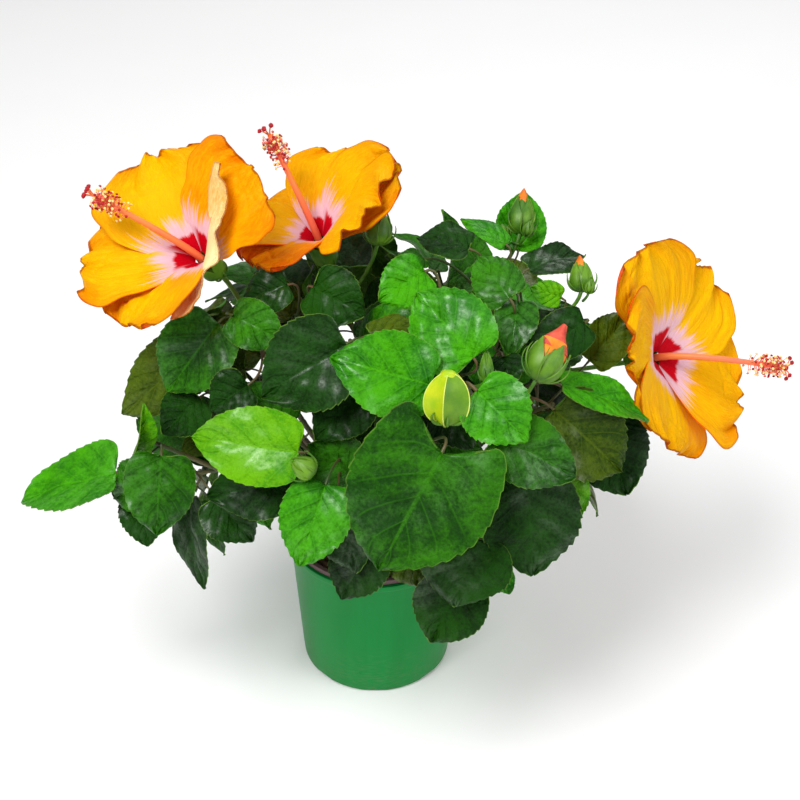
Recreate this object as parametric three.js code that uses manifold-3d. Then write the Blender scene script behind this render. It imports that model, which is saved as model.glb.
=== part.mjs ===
// A potted hibiscus shrub in flower: a green pot with a brown inner pot and a plug of bark compost,
// a short trunk, one bough to each mass of foliage, and three open blooms on stalks.
// Millimetres, +Z up, +X to the right, the viewer at -Y. The origin is the middle of the pot's underside.
import * as THREE from 'three';
import { mergeVertices } from 'three/addons/utils/BufferGeometryUtils.js';
import { LoftGeometry } from 'three/addons/geometries/LoftGeometry.js';
import Module from 'manifold-3d';

const wasm = await Module();
wasm.setup();

// Driving dimensions
const GAP = 0.3; // clear space between pieces that touch
const TRUNK_GAP = 0.45; // the same at the corners of the trunk, so that its flats keep it too
const POT = { height: 117, rim: 65, base: 57.5, wall: 1.8, floor: 5, heel: 2, lipHeight: 5, lipOut: 1.4 };
const FEET = { count: 8, width: 23, rise: 3, reach: 12, facets: 10 };
const LINER = { lipAbove: 5, wall: 1.6, floor: 3, lipOut: 1.8 };
const SOIL_TOP = 108;
const SIDES = 32; // facets round the pots
const TIDY = 0.3; // cuts finer than this are merged away

const TRUNK = { foot: 10.5, neck: 7.2, tip: 5.2, flare: 6, height: 64, lean: [3, -2], sides: 10, steps: 6 };
const BOUGH = { rootRadius: 2.9, tipRadius: 2, sides: 5, steps: 3, lift: 0.35, out: 0.5 };
const STEM = { tipRadius: 1.5, sides: 4, steps: 3, straight: 0.4 };
const TWIG = {
  rootRadius: 1.5, tipRadius: 0.9, sides: 3, steps: 2,
  spread: 55, sag: 3, from: 0.25, to: 0.85, length: [0.4, 0.65],
};
const PETIOLE = {
  rootRadius: 1.2, tipRadius: 0.85, straight: 0.3, bendPerStep: 0.9, behind: 15, longFrom: 40, stouter: 0.017,
};
const CARRIER_STEPS = 11;
const CLEAR_OF_POT = [9, 16]; // clear space of a filling leaf beside and above the pot
const BLADE = {
  thick: 1.5, thinning: 0.35, shape: 0.62, lobe: 0.07, lobeAt: 0.06, fineFrom: 45,
  stations: [0.12, 0.36, 0.68, 0.98], fewer: [0.2, 0.55, 0.97],
};
const FOLIAGE = {
  from: 0.15, to: 0.97, ahead: 0.55, lift: 0.25, outward: 0.8, skyward: 0.7,
  arch: [0.05, 0.06], fold: [6, 14],
  spacing: 11, petiole: [20, 16], length: [52, 30], aspect: [0.68, 0.1], droop: 0.42, tries: 4,
  lowest: 40, fromBlade: 5.5, fromLimb: 5, stalkFromBlade: 4.5, stalkFromLimb: 4.5, neighbours: 75,
};
const SAMPLES = {
  along: [0.02, 0.11, 0.2, 0.3, 0.4, 0.5, 0.6, 0.7, 0.8, 0.9, 0.99],
  across: [-1, -0.67, -0.33, 0, 0.33, 0.67, 1],
  petal: [0.1, 0.25, 0.4, 0.55, 0.7, 0.85, 0.97], step: 4,
};
const GOLDEN = THREE.MathUtils.degToRad(137.5);

// The rounded crown that the filling leaves stay inside, a little smaller towards the viewer,
// where the showing leaves lie outermost
const CROWN = { centre: [8, 6, 226], semi: [186, 166, 154], frontShare: 0.86 };
const VIEWER = new THREE.Vector3(0, -0.81, 0.59);

const COLOURS = {
  bright: 0x45a01c, lime: 0x86c81e, mid: 0x2c7a24, dark: 0x1d3d1c, olive: 0x4a6420,
  bark: 0x6b5a45, petal: 0xffb60a, pot: 0x23914a, liner: 0x665255, soil: 0x3a2a20,
};

// Which way a leaf's upper face looks
const UP = [0, -0.15, 1];
const FRONT = [0, -0.8, 0.6];
const LEFT = [-0.7, -0.35, 0.65];

const vec = (a) => new THREE.Vector3(...a);
const mix = (a, b, t) => a + (b - a) * t;

// The same numbers on every machine, from a seed
function seeded(seed) {
  let state = seed >>> 0;
  return () => {
    state = (state + 0x6d2b79f5) >>> 0;
    let t = Math.imul(state ^ (state >>> 15), state | 1);
    t = (t + Math.imul(t ^ (t >>> 7), t | 61)) ^ t;
    return ((t ^ (t >>> 14)) >>> 0) / 4294967296;
  };
}

// One closed solid from a closed surface
function solid(geometry) {
  const bare = new THREE.BufferGeometry().copy(geometry);
  bare.deleteAttribute('normal');
  bare.deleteAttribute('uv');
  const merged = mergeVertices(bare, 1e-4);
  return new wasm.Manifold(new wasm.Mesh({
    numProp: 3,
    vertProperties: merged.attributes.position.array,
    triVerts: new Uint32Array(merged.index.array),
  }));
}

function fuse(solids) {
  return wasm.Manifold.union(solids);
}

// The largest body of a solid: loose scrap is dropped, and hollows that fusing sealed are filled
function whole(made) {
  const bodies = made.decompose().filter((b) => b.volume() > 0);
  bodies.sort((a, b) => b.volume() - a.volume());
  return bodies[0];
}

function node(name, made, colour, roughness = 0.6) {
  const cut = whole(made.simplify(TIDY)).getMesh();
  const geometry = new THREE.BufferGeometry();
  geometry.setAttribute('position', new THREE.BufferAttribute(new Float32Array(cut.vertProperties), 3));
  geometry.setIndex(new THREE.BufferAttribute(new Uint32Array(cut.triVerts), 1));
  geometry.computeVertexNormals();
  const material = new THREE.MeshStandardMaterial({ color: colour, roughness, metalness: 0 });
  const mesh = new THREE.Mesh(geometry, material);
  mesh.name = name;
  return mesh;
}

function loft(sections) {
  return solid(new LoftGeometry(sections, { capStart: true, capEnd: true }));
}

// A round limb along a curve: radiusAt gives its radius from 0 at the root to 1 at the tip
function limb(curve, radiusAt, sides, steps) {
  const frames = curve.computeFrenetFrames(steps, false);
  const sections = [];
  for (let i = 0; i <= steps; i++) {
    const at = curve.getPointAt(i / steps);
    const radius = radiusAt(i / steps);
    const ring = [];
    for (let j = 0; j < sides; j++) {
      const angle = (j / sides) * 2 * Math.PI;
      ring.push(at.clone()
        .addScaledVector(frames.normals[i], radius * Math.cos(angle))
        .addScaledVector(frames.binormals[i], radius * Math.sin(angle)));
    }
    sections.push(ring);
  }
  return loft(sections);
}

const taper = (root, tip) => (t) => mix(root, tip, t);
const bend = (a, b, c) => new THREE.QuadraticBezierCurve3(a, b, c);

// Leaves
// Half a leaf's width at a share of its length: full near the base, drawn out to the tip
function halfWidth(t) {
  return Math.pow(Math.max(0, Math.sin(Math.PI * Math.pow(t, BLADE.shape))), 0.7 + 0.6 * t) / 2;
}

// A leaf's frame and sizes; arch and lobe are shares of its length, fold is degrees that each half is raised
function makeLeaf(base, tip, width, facing, { arch = 0.06, fold = 12, lobe = BLADE.lobe } = {}) {
  const along = tip.clone().sub(base);
  const length = along.length();
  along.normalize();
  const normal = facing.clone().addScaledVector(along, -facing.dot(along)).normalize();
  const across = normal.clone().cross(along);
  return { base, tip, along, normal, across, length, width, arch, fold, lobe };
}

// A point of the blade's middle surface: t from base to tip, u from -1 to 1 across
function bladePoint(leaf, t, u) {
  const half = leaf.width * halfWidth(t);
  const fold = THREE.MathUtils.degToRad(leaf.fold);
  const side = Math.abs(u);
  const lobe = leaf.lobe * side * (t / BLADE.lobeAt) * Math.exp(1 - t / BLADE.lobeAt);
  const out = u * half * Math.cos(fold);
  const rise = side * half * Math.sin(fold);
  return leaf.base.clone()
    .addScaledVector(leaf.along, leaf.length * (t - lobe))
    .addScaledVector(leaf.across, out)
    .addScaledVector(leaf.normal, rise + leaf.arch * leaf.length * 4 * t * (1 - t));
}

function leafSamples(leaf) {
  const points = [];
  for (const t of SAMPLES.along) {
    for (const u of SAMPLES.across) points.push(bladePoint(leaf, t, u));
  }
  return points;
}

// The stalk of a leaf, from where it leaves its shoot to the foot of the blade
function petioleCurve(leaf) {
  const reach = leaf.root.distanceTo(leaf.base);
  const elbow = leaf.base.clone().addScaledVector(leaf.along, -PETIOLE.straight * reach);
  return bend(leaf.root, elbow, leaf.base);
}

// One closed leaf: square rings up the stalk, which open out into the lens-shaped rings of the blade
function leafSolid(leaf) {
  const curve = petioleCurve(leaf);
  const turn = curve.getTangentAt(0).angleTo(curve.getTangentAt(1));
  const steps = 1 + Math.round(turn / PETIOLE.bendPerStep);
  const foot = PETIOLE.rootRadius + PETIOLE.stouter * Math.max(0, curve.getLength() - PETIOLE.longFrom);
  const sections = [];
  const across = leaf.across.clone();
  for (let i = steps; i >= 0; i--) {
    const tangent = curve.getTangentAt(i / steps);
    across.addScaledVector(tangent, -across.dot(tangent)).normalize();
    const rise = tangent.clone().cross(across);
    const at = curve.getPointAt(i / steps);
    const radius = mix(foot, PETIOLE.tipRadius, i / steps);
    sections.unshift([across, rise, across.clone().negate(), rise.clone().negate()]
      .map((way) => at.clone().addScaledVector(way, radius)));
  }
  for (const t of leaf.shows && leaf.length > BLADE.fineFrom ? BLADE.stations : BLADE.fewer) {
    const half = (BLADE.thick / 2) * (1 - BLADE.thinning * t);
    const middle = bladePoint(leaf, t, 0);
    sections.push([
      bladePoint(leaf, t, 1),
      middle.clone().addScaledVector(leaf.normal, half),
      bladePoint(leaf, t, -1),
      middle.clone().addScaledVector(leaf.normal, -half),
    ]);
  }
  return loft(sections);
}

// Petals and blooms. throat and rim are the degrees that a petal leans out at its claw and at its rim
const BLOOM = {
  petals: 5, claw: 3, thick: 1.1, rim: 88, widestAt: 0.62, roundness: 0.39, clawWidth: 0.12,
  pinwheel: 11, hollow: 0.3, stations: [0.02, 0.34, 0.7, 0.95], across: [-1, -0.4, 0.4, 1],
  calyx: 8.5, calyxLength: 24, calyxLine: [0.35, 0.85, 1, 0.8], sunk: 4, stalkRadius: 1.7,
};
const COLUMN = {
  root: 2.6, tip: 1.5, bow: 0.3,
  brush: 8.5, brushFrom: 0.62, brushTo: 0.95, brushLine: [0.25, 0.9, 0.75, 1, 0.5],
  stigmas: 5, stigmaReach: 11, stigmaAhead: 1.3, thread: 0.8, pad: 1.8,
};
const BUD = { line: [0.3, 0.9, 1, 0.6, 0.15], stalkRoot: 1.5, stalkTip: 1.2, straight: 0.5, sunk: 0.2 };

function petalWidth(t) {
  const w = BLOOM.widestAt;
  if (t < w) return mix(BLOOM.clawWidth, 1, Math.sin((Math.PI / 2) * (t / w)));
  return Math.sqrt(Math.max(0, 1 - ((t - w) / BLOOM.roundness) ** 2));
}

// The bloom's own directions: along its axis, and two across it, the first one as upright as it can be
function bloomFrame(bloom) {
  const axis = vec(bloom.axis).normalize();
  const upright = vec([0, 0, 1]).addScaledVector(axis, -axis.z).normalize();
  return { axis, upright, aside: axis.clone().cross(upright) };
}

// A point of a petal's middle surface: t from claw to rim, u from -1 to 1 across
function petalPoint(bloom, frame, index, t, u) {
  const [length, width, extra, shift] = bloom.petals[index];
  const turn = THREE.MathUtils.degToRad(bloom.turn + shift + (index * 360) / BLOOM.petals);
  const radial = frame.upright.clone().applyAxisAngle(frame.axis, turn);
  const tangent = frame.axis.clone().cross(radial);
  const first = THREE.MathUtils.degToRad(bloom.flare);
  const swing = THREE.MathUtils.degToRad(BLOOM.rim + extra) - first;
  const open = first + swing * t;
  const out = BLOOM.claw + (length * (Math.cos(first) - Math.cos(open))) / swing;
  const up = (length * (Math.sin(open) - Math.sin(first))) / swing;
  const inward = radial.clone().multiplyScalar(-Math.cos(open)).addScaledVector(frame.axis, Math.sin(open));
  const y = (u * width * petalWidth(t)) / 2;
  const tilt = THREE.MathUtils.degToRad(BLOOM.pinwheel);
  const hollow = (BLOOM.hollow * y * y * Math.cos(open)) / (out + 10);
  return vec(bloom.throat)
    .addScaledVector(radial, out)
    .addScaledVector(frame.axis, up)
    .addScaledVector(tangent, y * Math.cos(tilt))
    .addScaledVector(inward, y * Math.sin(tilt) + hollow);
}

// A closed sheet between two faces whose rows run from its foot to its rim and meet at both sides.
// Both faces are cut along the same diagonals, so that a twisted sheet doesn't cross itself
function sheet(over, under) {
  const points = [...over, ...under].flat();
  const across = over[0].length;
  const index = [];
  const add = (...corners) => {
    const apart = corners.every((corner, i) => !points[corner].equals(points[corners[(i + 1) % 3]]));
    if (apart) index.push(...corners);
  };
  for (let i = 0; i < over.length; i++) {
    for (let j = 0; j + 1 < across; j++) {
      const a = i * across + j;
      const under0 = over.length * across + a;
      if (i === 0) {
        add(a, a + 1, under0 + 1);
        add(a, under0 + 1, under0);
      }
      if (i === over.length - 1) {
        add(a, under0 + 1, a + 1);
        add(a, under0, under0 + 1);
        continue;
      }
      add(a, a + across, a + across + 1);
      add(a, a + across + 1, a + 1);
      add(under0, under0 + across + 1, under0 + across);
      add(under0, under0 + 1, under0 + across + 1);
    }
  }
  return solid(new THREE.BufferGeometry().setFromPoints(points).setIndex(index));
}

// A closed petal: its inner face over its outer one, thickest along the middle
function petalSolid(bloom, frame, index) {
  const face = (side) => BLOOM.stations.map((t) => BLOOM.across.map((u) => {
    const at = (dt, du) => petalPoint(bloom, frame, index, t + dt, u + du);
    const along = at(0.01, 0).sub(at(-0.01, 0));
    const across = at(0, 0.01).sub(at(0, -0.01));
    const half = (BLOOM.thick / 2) * (1 - u * u) * side;
    return at(0, 0).addScaledVector(along.cross(across).normalize(), half);
  }));
  return sheet(face(1), face(-1));
}

function columnCurve(bloom, frame) {
  const throat = vec(bloom.throat);
  const end = throat.clone().addScaledVector(vec(bloom.column).normalize(), bloom.columnLength);
  return bend(throat, throat.clone().addScaledVector(frame.axis, COLUMN.bow * bloom.columnLength), end);
}

// A round body of changing thickness on a straight line: line holds its radii as shares of the widest
function spindle(from, to, radius, line) {
  const last = line.length - 1;
  return limb(new THREE.LineCurve3(from, to), (t) => radius * line[Math.round(t * last)], 6, last);
}

// The brush of anthers near the column's end, as one knotty spindle, and the stigma pads beyond it
function brushSolids(bloom, frame) {
  const curve = columnCurve(bloom, frame);
  const ahead = curve.getTangentAt(1);
  const tip = curve.getPointAt(COLUMN.brushTo);
  const made = [spindle(curve.getPointAt(COLUMN.brushFrom), tip, COLUMN.brush, COLUMN.brushLine)];
  for (let i = 0; i < COLUMN.stigmas; i++) {
    const way = frame.aside.clone().applyAxisAngle(ahead, (i * 2 * Math.PI) / COLUMN.stigmas);
    way.addScaledVector(ahead, COLUMN.stigmaAhead).normalize();
    const end = tip.clone().addScaledVector(way, COLUMN.stigmaReach);
    made.push(limb(new THREE.LineCurve3(tip, end), taper(COLUMN.thread, COLUMN.pad), 3, 1));
  }
  return made;
}

// The stalk that carries a bloom on from the tip of a stem, clear of it by the gap
function bloomStalk(bloom, shoot) {
  const { axis } = bloomFrame(bloom);
  const foot = vec(bloom.throat).addScaledVector(axis, -BLOOM.calyxLength);
  const ahead = shoot.getTangentAt(1);
  const start = shoot.getPointAt(1).addScaledVector(ahead, GAP);
  const reach = start.distanceTo(foot) / 3;
  return new THREE.CubicBezierCurve3(
    start,
    start.clone().addScaledVector(ahead, reach),
    foot.clone().addScaledVector(axis, -reach),
    foot.clone().addScaledVector(axis, BLOOM.sunk),
  );
}

function bloomSolid(bloom) {
  const frame = bloomFrame(bloom);
  const throat = vec(bloom.throat);
  const foot = throat.clone().addScaledVector(frame.axis, -BLOOM.calyxLength);
  const mouth = throat.clone().addScaledVector(frame.axis, BLOOM.sunk);
  const pieces = [
    spindle(foot, mouth, BLOOM.calyx, BLOOM.calyxLine),
    limb(bloom.stalk, taper(STEM.tipRadius, BLOOM.stalkRadius), 4, 4),
    limb(columnCurve(bloom, frame), taper(COLUMN.root, COLUMN.tip), 5, 3),
    ...brushSolids(bloom, frame),
  ];
  for (let i = 0; i < BLOOM.petals; i++) pieces.push(petalSolid(bloom, frame, i));
  return whole(fuse(pieces));
}

function bloomSamples(bloom) {
  const frame = bloomFrame(bloom);
  const points = [];
  for (let i = 0; i < BLOOM.petals; i++) {
    for (const t of SAMPLES.petal) {
      for (const u of SAMPLES.across) points.push(petalPoint(bloom, frame, i, t, u));
    }
  }
  for (let d = 0; d <= BLOOM.calyxLength; d += SAMPLES.step) {
    points.push(vec(bloom.throat).addScaledVector(frame.axis, -d));
  }
  return points;
}

// Closed and half-open buds, each on its stalk
function budSolid(bud) {
  const stalk = limb(budStalk(bud), taper(BUD.stalkRoot, BUD.stalkTip), 3, 3);
  return [spindle(vec(bud.base), vec(bud.tip), bud.radius, BUD.line), stalk];
}

function budStalk(bud) {
  const base = vec(bud.base);
  const tip = vec(bud.tip);
  return bend(bud.root, base.clone().lerp(tip, -BUD.straight), base.lerp(tip, BUD.sunk));
}

// Blooms: flare is how far the petals open at the throat. Each petal has its length, width, extra opening
// at the rim and turn from its even place
const BLOOMS = [
  {
    name: 'bloom_left', shoot: 'left_high', throat: [-112, -27, 374], axis: [-0.46, -0.42, 0.79],
    column: [-0.8, -0.04, 0.6], columnLength: 82, turn: -35, flare: 38,
    petals: [[80, 84, 4, 14], [79, 90, 0, 22], [80, 84, 6, 21], [74, 86, 0, 19], [76, 96, -43, 44]],
  },
  {
    name: 'bloom_top', shoot: 'mid', throat: [-36, 7, 368], axis: [-0.25, -0.16, 0.92],
    column: [-0.39, 0.16, 0.91], columnLength: 80, turn: -31, flare: 38,
    petals: [[78, 72, -10, 4], [65, 66, 0, -14], [54, 72, 10, 12], [57, 68, 10, 6], [75, 70, -14, 18]],
  },
  {
    name: 'bloom_right', shoot: 'right_back', throat: [196, -20, 290], axis: [0.75, -0.43, 0.47],
    column: [0.97, -0.2, 0.04], columnLength: 88, turn: -11, flare: 57,
    petals: [[80, 92, 6, 4], [76, 88, -4, -4], [71, 88, 4, -12], [78, 84, -3, 8], [78, 92, 3, 19]],
  },
];

// Masses of foliage. height is how far above the soil the bough leaves the trunk, from and to are the
// ends of the mass's stem, reach is the radius of the mass's own space round it, fill is the most leaves
// that the rule adds, showing holds the leaves that show most (base, tip, width, the way the upper face
// looks, what differs from the rest), and buds holds each bud's base, tip and radius.
const MASSES = [
  {
    name: 'left_low', colour: 'mid', seed: 11, height: 14,
    from: [-80, -42, 190], to: [-150, -78, 262], reach: 70, fill: 6, twigs: 2,
    showing: [
      [[-175, -80, 235], [-245, -75, 205], 62, UP],
      [[-140, -95, 262], [-145, -118, 212], 50, FRONT],
      [[-148, -90, 240], [-178, -84, 216], 40, FRONT],
      [[-160, -78, 218], [-155, -102, 188], 34, FRONT],
      [[-125, -88, 220], [-115, -120, 165], 40, LEFT],
      [[-105, -105, 235], [-80, -120, 208], 40, FRONT],
    ],
    buds: [],
  },
  {
    name: 'left_high', colour: 'olive', seed: 12, height: 40,
    from: [-45, -20, 225], to: [-80, -32, 322], reach: 80, fill: 4, twigs: 2,
    showing: [
      [[-110, -45, 320], [-170, -60, 270], 48, FRONT],
      [[-100, -60, 345], [-135, -75, 300], 52, FRONT],
      [[-90, -62, 352], [-55, -78, 342], 34, FRONT],
      [[-55, -40, 362], [-85, -42, 350], 30, FRONT],
      [[-80, -88, 315], [-105, -95, 300], 36, FRONT],
      [[-115, -70, 292], [-140, -82, 270], 36, FRONT],
    ],
    buds: [],
  },
  {
    name: 'left_front', colour: 'lime', seed: 13, height: 24,
    from: [-32, -50, 195], to: [-55, -100, 285], reach: 60, fill: 4, twigs: 1,
    showing: [
      [[-45, -140, 300], [-115, -120, 297], 52, FRONT],
      [[-50, -130, 268], [-108, -122, 250], 44, FRONT],
    ],
    buds: [[[-35, -151, 291], [-49, -150, 302], 7]],
  },
  {
    name: 'top_left', colour: 'dark', seed: 14, height: 52,
    from: [-10, -20, 235], to: [-14, -58, 330], reach: 70, fill: 5, twigs: 2,
    showing: [
      [[-38, -46, 364], [-4, -60, 350], 42, FRONT],
      [[-15, -95, 352], [-70, -106, 318], 62, FRONT],
      [[0, -82, 350], [35, -72, 352], 24, UP],
    ],
    buds: [],
  },
  {
    name: 'mid', colour: 'dark', seed: 15, height: 58,
    from: [-4, 14, 240], to: [-24, 14, 318], reach: 70, fill: 5, twigs: 2,
    showing: [],
    buds: [[[4, -14, 376], [6, 2, 398], 8]],
  },
  {
    name: 'centre', colour: 'bright', seed: 16, height: 50,
    from: [24, -40, 230], to: [42, -85, 325], reach: 70, fill: 5, twigs: 2,
    showing: [
      [[35, -50, 378], [5, -66, 366], 36, FRONT],
      [[65, -115, 355], [30, -78, 380], 56, FRONT],
      [[38, -130, 345], [-25, -110, 352], 56, FRONT],
      [[60, -86, 345], [30, -100, 330], 34, FRONT],
      [[45, -97, 308], [66, -116, 284], 36, FRONT],
      [[28, -102, 306], [4, -118, 286], 34, FRONT],
    ],
    buds: [[[48, -148, 328], [49, -139, 364], 13], [[73, -127, 345], [73, -111, 358], 4]],
  },
  {
    name: 'front_left', colour: 'mid', seed: 17, height: 14,
    from: [-16, -55, 190], to: [-18, -102, 270], reach: 60, fill: 3, twigs: 1,
    showing: [
      [[-28, -150, 282], [-45, -175, 235], 47, FRONT],
      [[-20, -140, 262], [-10, -156, 212], 40, FRONT],
      [[-5, -95, 318], [-36, -114, 290], 42, FRONT],
      [[-12, -118, 262], [-41, -110, 284], 44, FRONT],
    ],
    buds: [],
  },
  {
    name: 'front', colour: 'mid', seed: 18, height: 22,
    from: [14, -58, 190], to: [34, -108, 285], reach: 60, fill: 3, twigs: 1,
    showing: [
      [[45, -158, 314], [5, -185, 240], 96, FRONT, { lobe: 0.22 }],
      [[0, -142, 228], [-20, -155, 188], 42, FRONT],
      [[22, -140, 222], [32, -152, 196], 32, FRONT],
    ],
    buds: [],
  },
  {
    name: 'front_low', colour: 'dark', seed: 19, height: 12,
    from: [38, -56, 172], to: [62, -112, 225], reach: 60, fill: 3, twigs: 1,
    showing: [
      [[65, -160, 245], [55, -175, 200], 62, FRONT],
      [[60, -150, 205], [40, -165, 158], 52, FRONT],
      [[84, -145, 208], [92, -150, 188], 16, FRONT],
    ],
    buds: [],
  },
  {
    name: 'front_right', colour: 'mid', seed: 20, height: 42,
    from: [48, -42, 205], to: [85, -100, 290], reach: 60, fill: 4, twigs: 2,
    showing: [
      [[100, -145, 282], [105, -165, 218], 68, FRONT],
      [[125, -118, 268], [130, -136, 232], 34, FRONT],
      [[78, -145, 318], [130, -150, 288], 46, FRONT],
      [[66, -140, 348], [98, -155, 320], 46, FRONT],
      [[85, -92, 340], [90, -110, 328], 24, FRONT],
    ],
    buds: [[[104, -120, 341], [122, -94, 363], 11]],
  },
  {
    name: 'right', colour: 'olive', seed: 21, height: 34,
    from: [62, -20, 205], to: [122, -68, 285], reach: 65, fill: 2, twigs: 2,
    showing: [
      [[118, -108, 310], [165, -112, 262], 58, FRONT],
      [[122, -104, 326], [182, -98, 293], 34, UP],
      [[152, -76, 275], [172, -102, 234], 56, FRONT],
      [[145, -60, 315], [175, -25, 330], 32, FRONT],
    ],
    buds: [],
  },
  {
    name: 'right_high', colour: 'dark', seed: 22, height: 46,
    from: [58, 2, 225], to: [112, -38, 325], reach: 65, fill: 2, twigs: 2,
    showing: [
      [[140, -60, 345], [100, -80, 332], 34, FRONT],
      [[125, -45, 355], [105, -40, 360], 18, FRONT],
      [[105, -20, 362], [145, 0, 360], 32, UP],
    ],
    buds: [[[139, -43, 358], [138, -26, 374], 7]],
  },
  {
    name: 'top', colour: 'bright', seed: 23, height: 52,
    from: [32, 8, 240], to: [80, 2, 335], reach: 70, fill: 2, twigs: 2,
    showing: [
      [[100, 10, 358], [105, 45, 385], 36, FRONT],
      [[90, -5, 372], [60, 15, 380], 20, UP],
      [[65, -18, 376], [30, -8, 378], 38, UP],
      [[35, -18, 368], [15, -28, 368], 22, UP],
      [[90, -62, 365], [70, -35, 380], 34, FRONT],
      [[96, -55, 358], [90, -85, 336], 30, FRONT],
    ],
    buds: [[[101, 15, 368], [104, 37, 389], 8]],
  },
  {
    name: 'right_back', colour: 'mid', seed: 24, height: 28,
    from: [62, 24, 200], to: [128, 6, 258], reach: 70, fill: 6, twigs: 3,
    showing: [], buds: [],
  },
  {
    name: 'right_low', colour: 'dark', seed: 25, height: 12,
    from: [66, 4, 165], to: [118, -16, 205], reach: 65, fill: 5, twigs: 2,
    showing: [], buds: [],
  },
  {
    name: 'back_right', colour: 'mid', seed: 26, height: 42,
    from: [36, 46, 220], to: [64, 82, 282], reach: 85, fill: 8, twigs: 3,
    showing: [], buds: [],
  },
  {
    name: 'back', colour: 'mid', seed: 27, height: 20,
    from: [4, 56, 190], to: [2, 118, 255], reach: 85, fill: 8, twigs: 3,
    showing: [], buds: [],
  },
  {
    name: 'back_left', colour: 'mid', seed: 45, height: 46,
    from: [-36, 44, 220], to: [-54, 76, 282], reach: 85, fill: 9, twigs: 3,
    showing: [], buds: [],
  },
  {
    name: 'left_back', colour: 'mid', seed: 29, height: 30,
    from: [-60, 20, 200], to: [-110, 36, 256], reach: 80, fill: 8, twigs: 3,
    showing: [], buds: [],
  },
  {
    name: 'back_low_left', colour: 'dark', seed: 30, height: 12,
    from: [-50, 34, 165], to: [-100, 70, 205], reach: 70, fill: 6, twigs: 2,
    showing: [], buds: [],
  },
  {
    name: 'back_low_right', colour: 'dark', seed: 31, height: 18,
    from: [48, 44, 165], to: [92, 78, 205], reach: 70, fill: 5, twigs: 2,
    showing: [], buds: [],
  },
];

// Trunk and boughs
const ground = vec([0, 0, SOIL_TOP + GAP]);
const trunkTop = vec([TRUNK.lean[0], TRUNK.lean[1], SOIL_TOP + GAP + TRUNK.height]);
const trunkLine = bend(ground, vec([0, 0, SOIL_TOP + 0.5 * TRUNK.height]), trunkTop);

function trunkRadius(t) {
  const flare = (TRUNK.foot - TRUNK.neck) * Math.exp((-t * TRUNK.height) / TRUNK.flare);
  return mix(TRUNK.neck, TRUNK.tip, t) + flare;
}

function boughCurve(mass) {
  const root = trunkLine.getPointAt(mass.height / TRUNK.height);
  const tip = vec(mass.from);
  const rise = tip.z - root.z;
  const elbow = root.clone().lerp(tip, BOUGH.out);
  elbow.z = root.z + BOUGH.lift * rise;
  return bend(root, elbow, tip);
}

function stemCurve(mass, bough) {
  const ahead = bough.getTangentAt(1);
  const start = vec(mass.from).addScaledVector(ahead, GAP);
  const tip = vec(mass.to);
  return bend(start, start.clone().addScaledVector(ahead, STEM.straight * start.distanceTo(tip)), tip);
}

// A side twig of a mass's stem, by the golden angle
function sideTwig(mass, index) {
  const t = mix(TWIG.from, TWIG.to, (index + 0.5) / mass.twigs);
  const root = mass.stem.getPointAt(t);
  const ahead = mass.stem.getTangentAt(t);
  const side = sideways(ahead, index * GOLDEN + mass.seed);
  const lean = THREE.MathUtils.degToRad(TWIG.spread);
  const way = ahead.multiplyScalar(Math.cos(lean)).addScaledVector(side, Math.sin(lean));
  const length = mass.reach * mix(...TWIG.length, mass.random());
  const elbow = root.clone().addScaledVector(way, 0.5 * length);
  elbow.z -= TWIG.sag;
  return bend(root, elbow, root.clone().addScaledVector(way, length));
}

// A direction square to another one, at an angle round it
function sideways(ahead, angle) {
  return new THREE.Vector3(1, 0, 0).cross(ahead).normalize().applyAxisAngle(ahead, angle);
}

// A free-growing leaf of a shoot, at a share of its length and an angle round it
function grownLeaf(shoot, t, angle, random) {
  const root = shoot.getPointAt(t);
  const ahead = shoot.getTangentAt(t);
  const side = sideways(ahead, angle);
  const way = side.clone().addScaledVector(ahead, FOLIAGE.ahead).add(vec([0, 0, FOLIAGE.lift])).normalize();
  const drawn = ([least, range]) => least + range * random();
  const petiole = drawn(FOLIAGE.petiole);
  const length = drawn(FOLIAGE.length);
  const width = length * drawn(FOLIAGE.aspect);
  const base = root.clone().addScaledVector(way, petiole);
  const outward = base.clone().sub(vec(CROWN.centre)).normalize();
  const heading = side.addScaledVector(outward, FOLIAGE.outward).add(vec([0, 0, -FOLIAGE.droop])).normalize();
  const tip = base.clone().addScaledVector(heading, length);
  const facing = outward.add(vec([0, 0, FOLIAGE.skyward])).normalize();
  const leaf = makeLeaf(base, tip, width, facing, { arch: drawn(FOLIAGE.arch), fold: drawn(FOLIAGE.fold) });
  leaf.root = root;
  return leaf;
}

// How far out of the crown a point is: 1 on its surface
function crownShare(point) {
  const from = point.clone().sub(vec(CROWN.centre));
  const towards = from.clone().normalize().dot(VIEWER);
  const share = mix(1, CROWN.frontShare, THREE.MathUtils.clamp(towards * 2, 0, 1));
  return from.divide(vec(CROWN.semi)).length() / share;
}

function nearest(points, others) {
  let least = Infinity;
  for (const p of points) {
    for (const q of others) least = Math.min(least, p.distanceToSquared(q));
  }
  return Math.sqrt(least);
}

function curveSamples(curve) {
  const count = Math.max(1, Math.ceil(curve.getLength() / SAMPLES.step));
  return curve.getSpacedPoints(count);
}

// What of a list lies near a point
function around(list, at) {
  return list.filter((q) => q.distanceTo(at) < FOLIAGE.neighbours);
}

function clearOfPot(point) {
  return Math.hypot(point.x, point.y) > POT.rim + CLEAR_OF_POT[0] || point.z > POT.height + CLEAR_OF_POT[1];
}

// Whether a stalk or twig that starts on its own shoot runs clear of all else
function runsClear(curve, taken) {
  const points = curveSamples(curve).slice(3);
  const middle = curve.getPointAt(0.5);
  return nearest(points, around(taken.blades, middle)) > FOLIAGE.stalkFromBlade
    && nearest(points, around(taken.wood, middle)) > FOLIAGE.stalkFromLimb;
}

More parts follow.
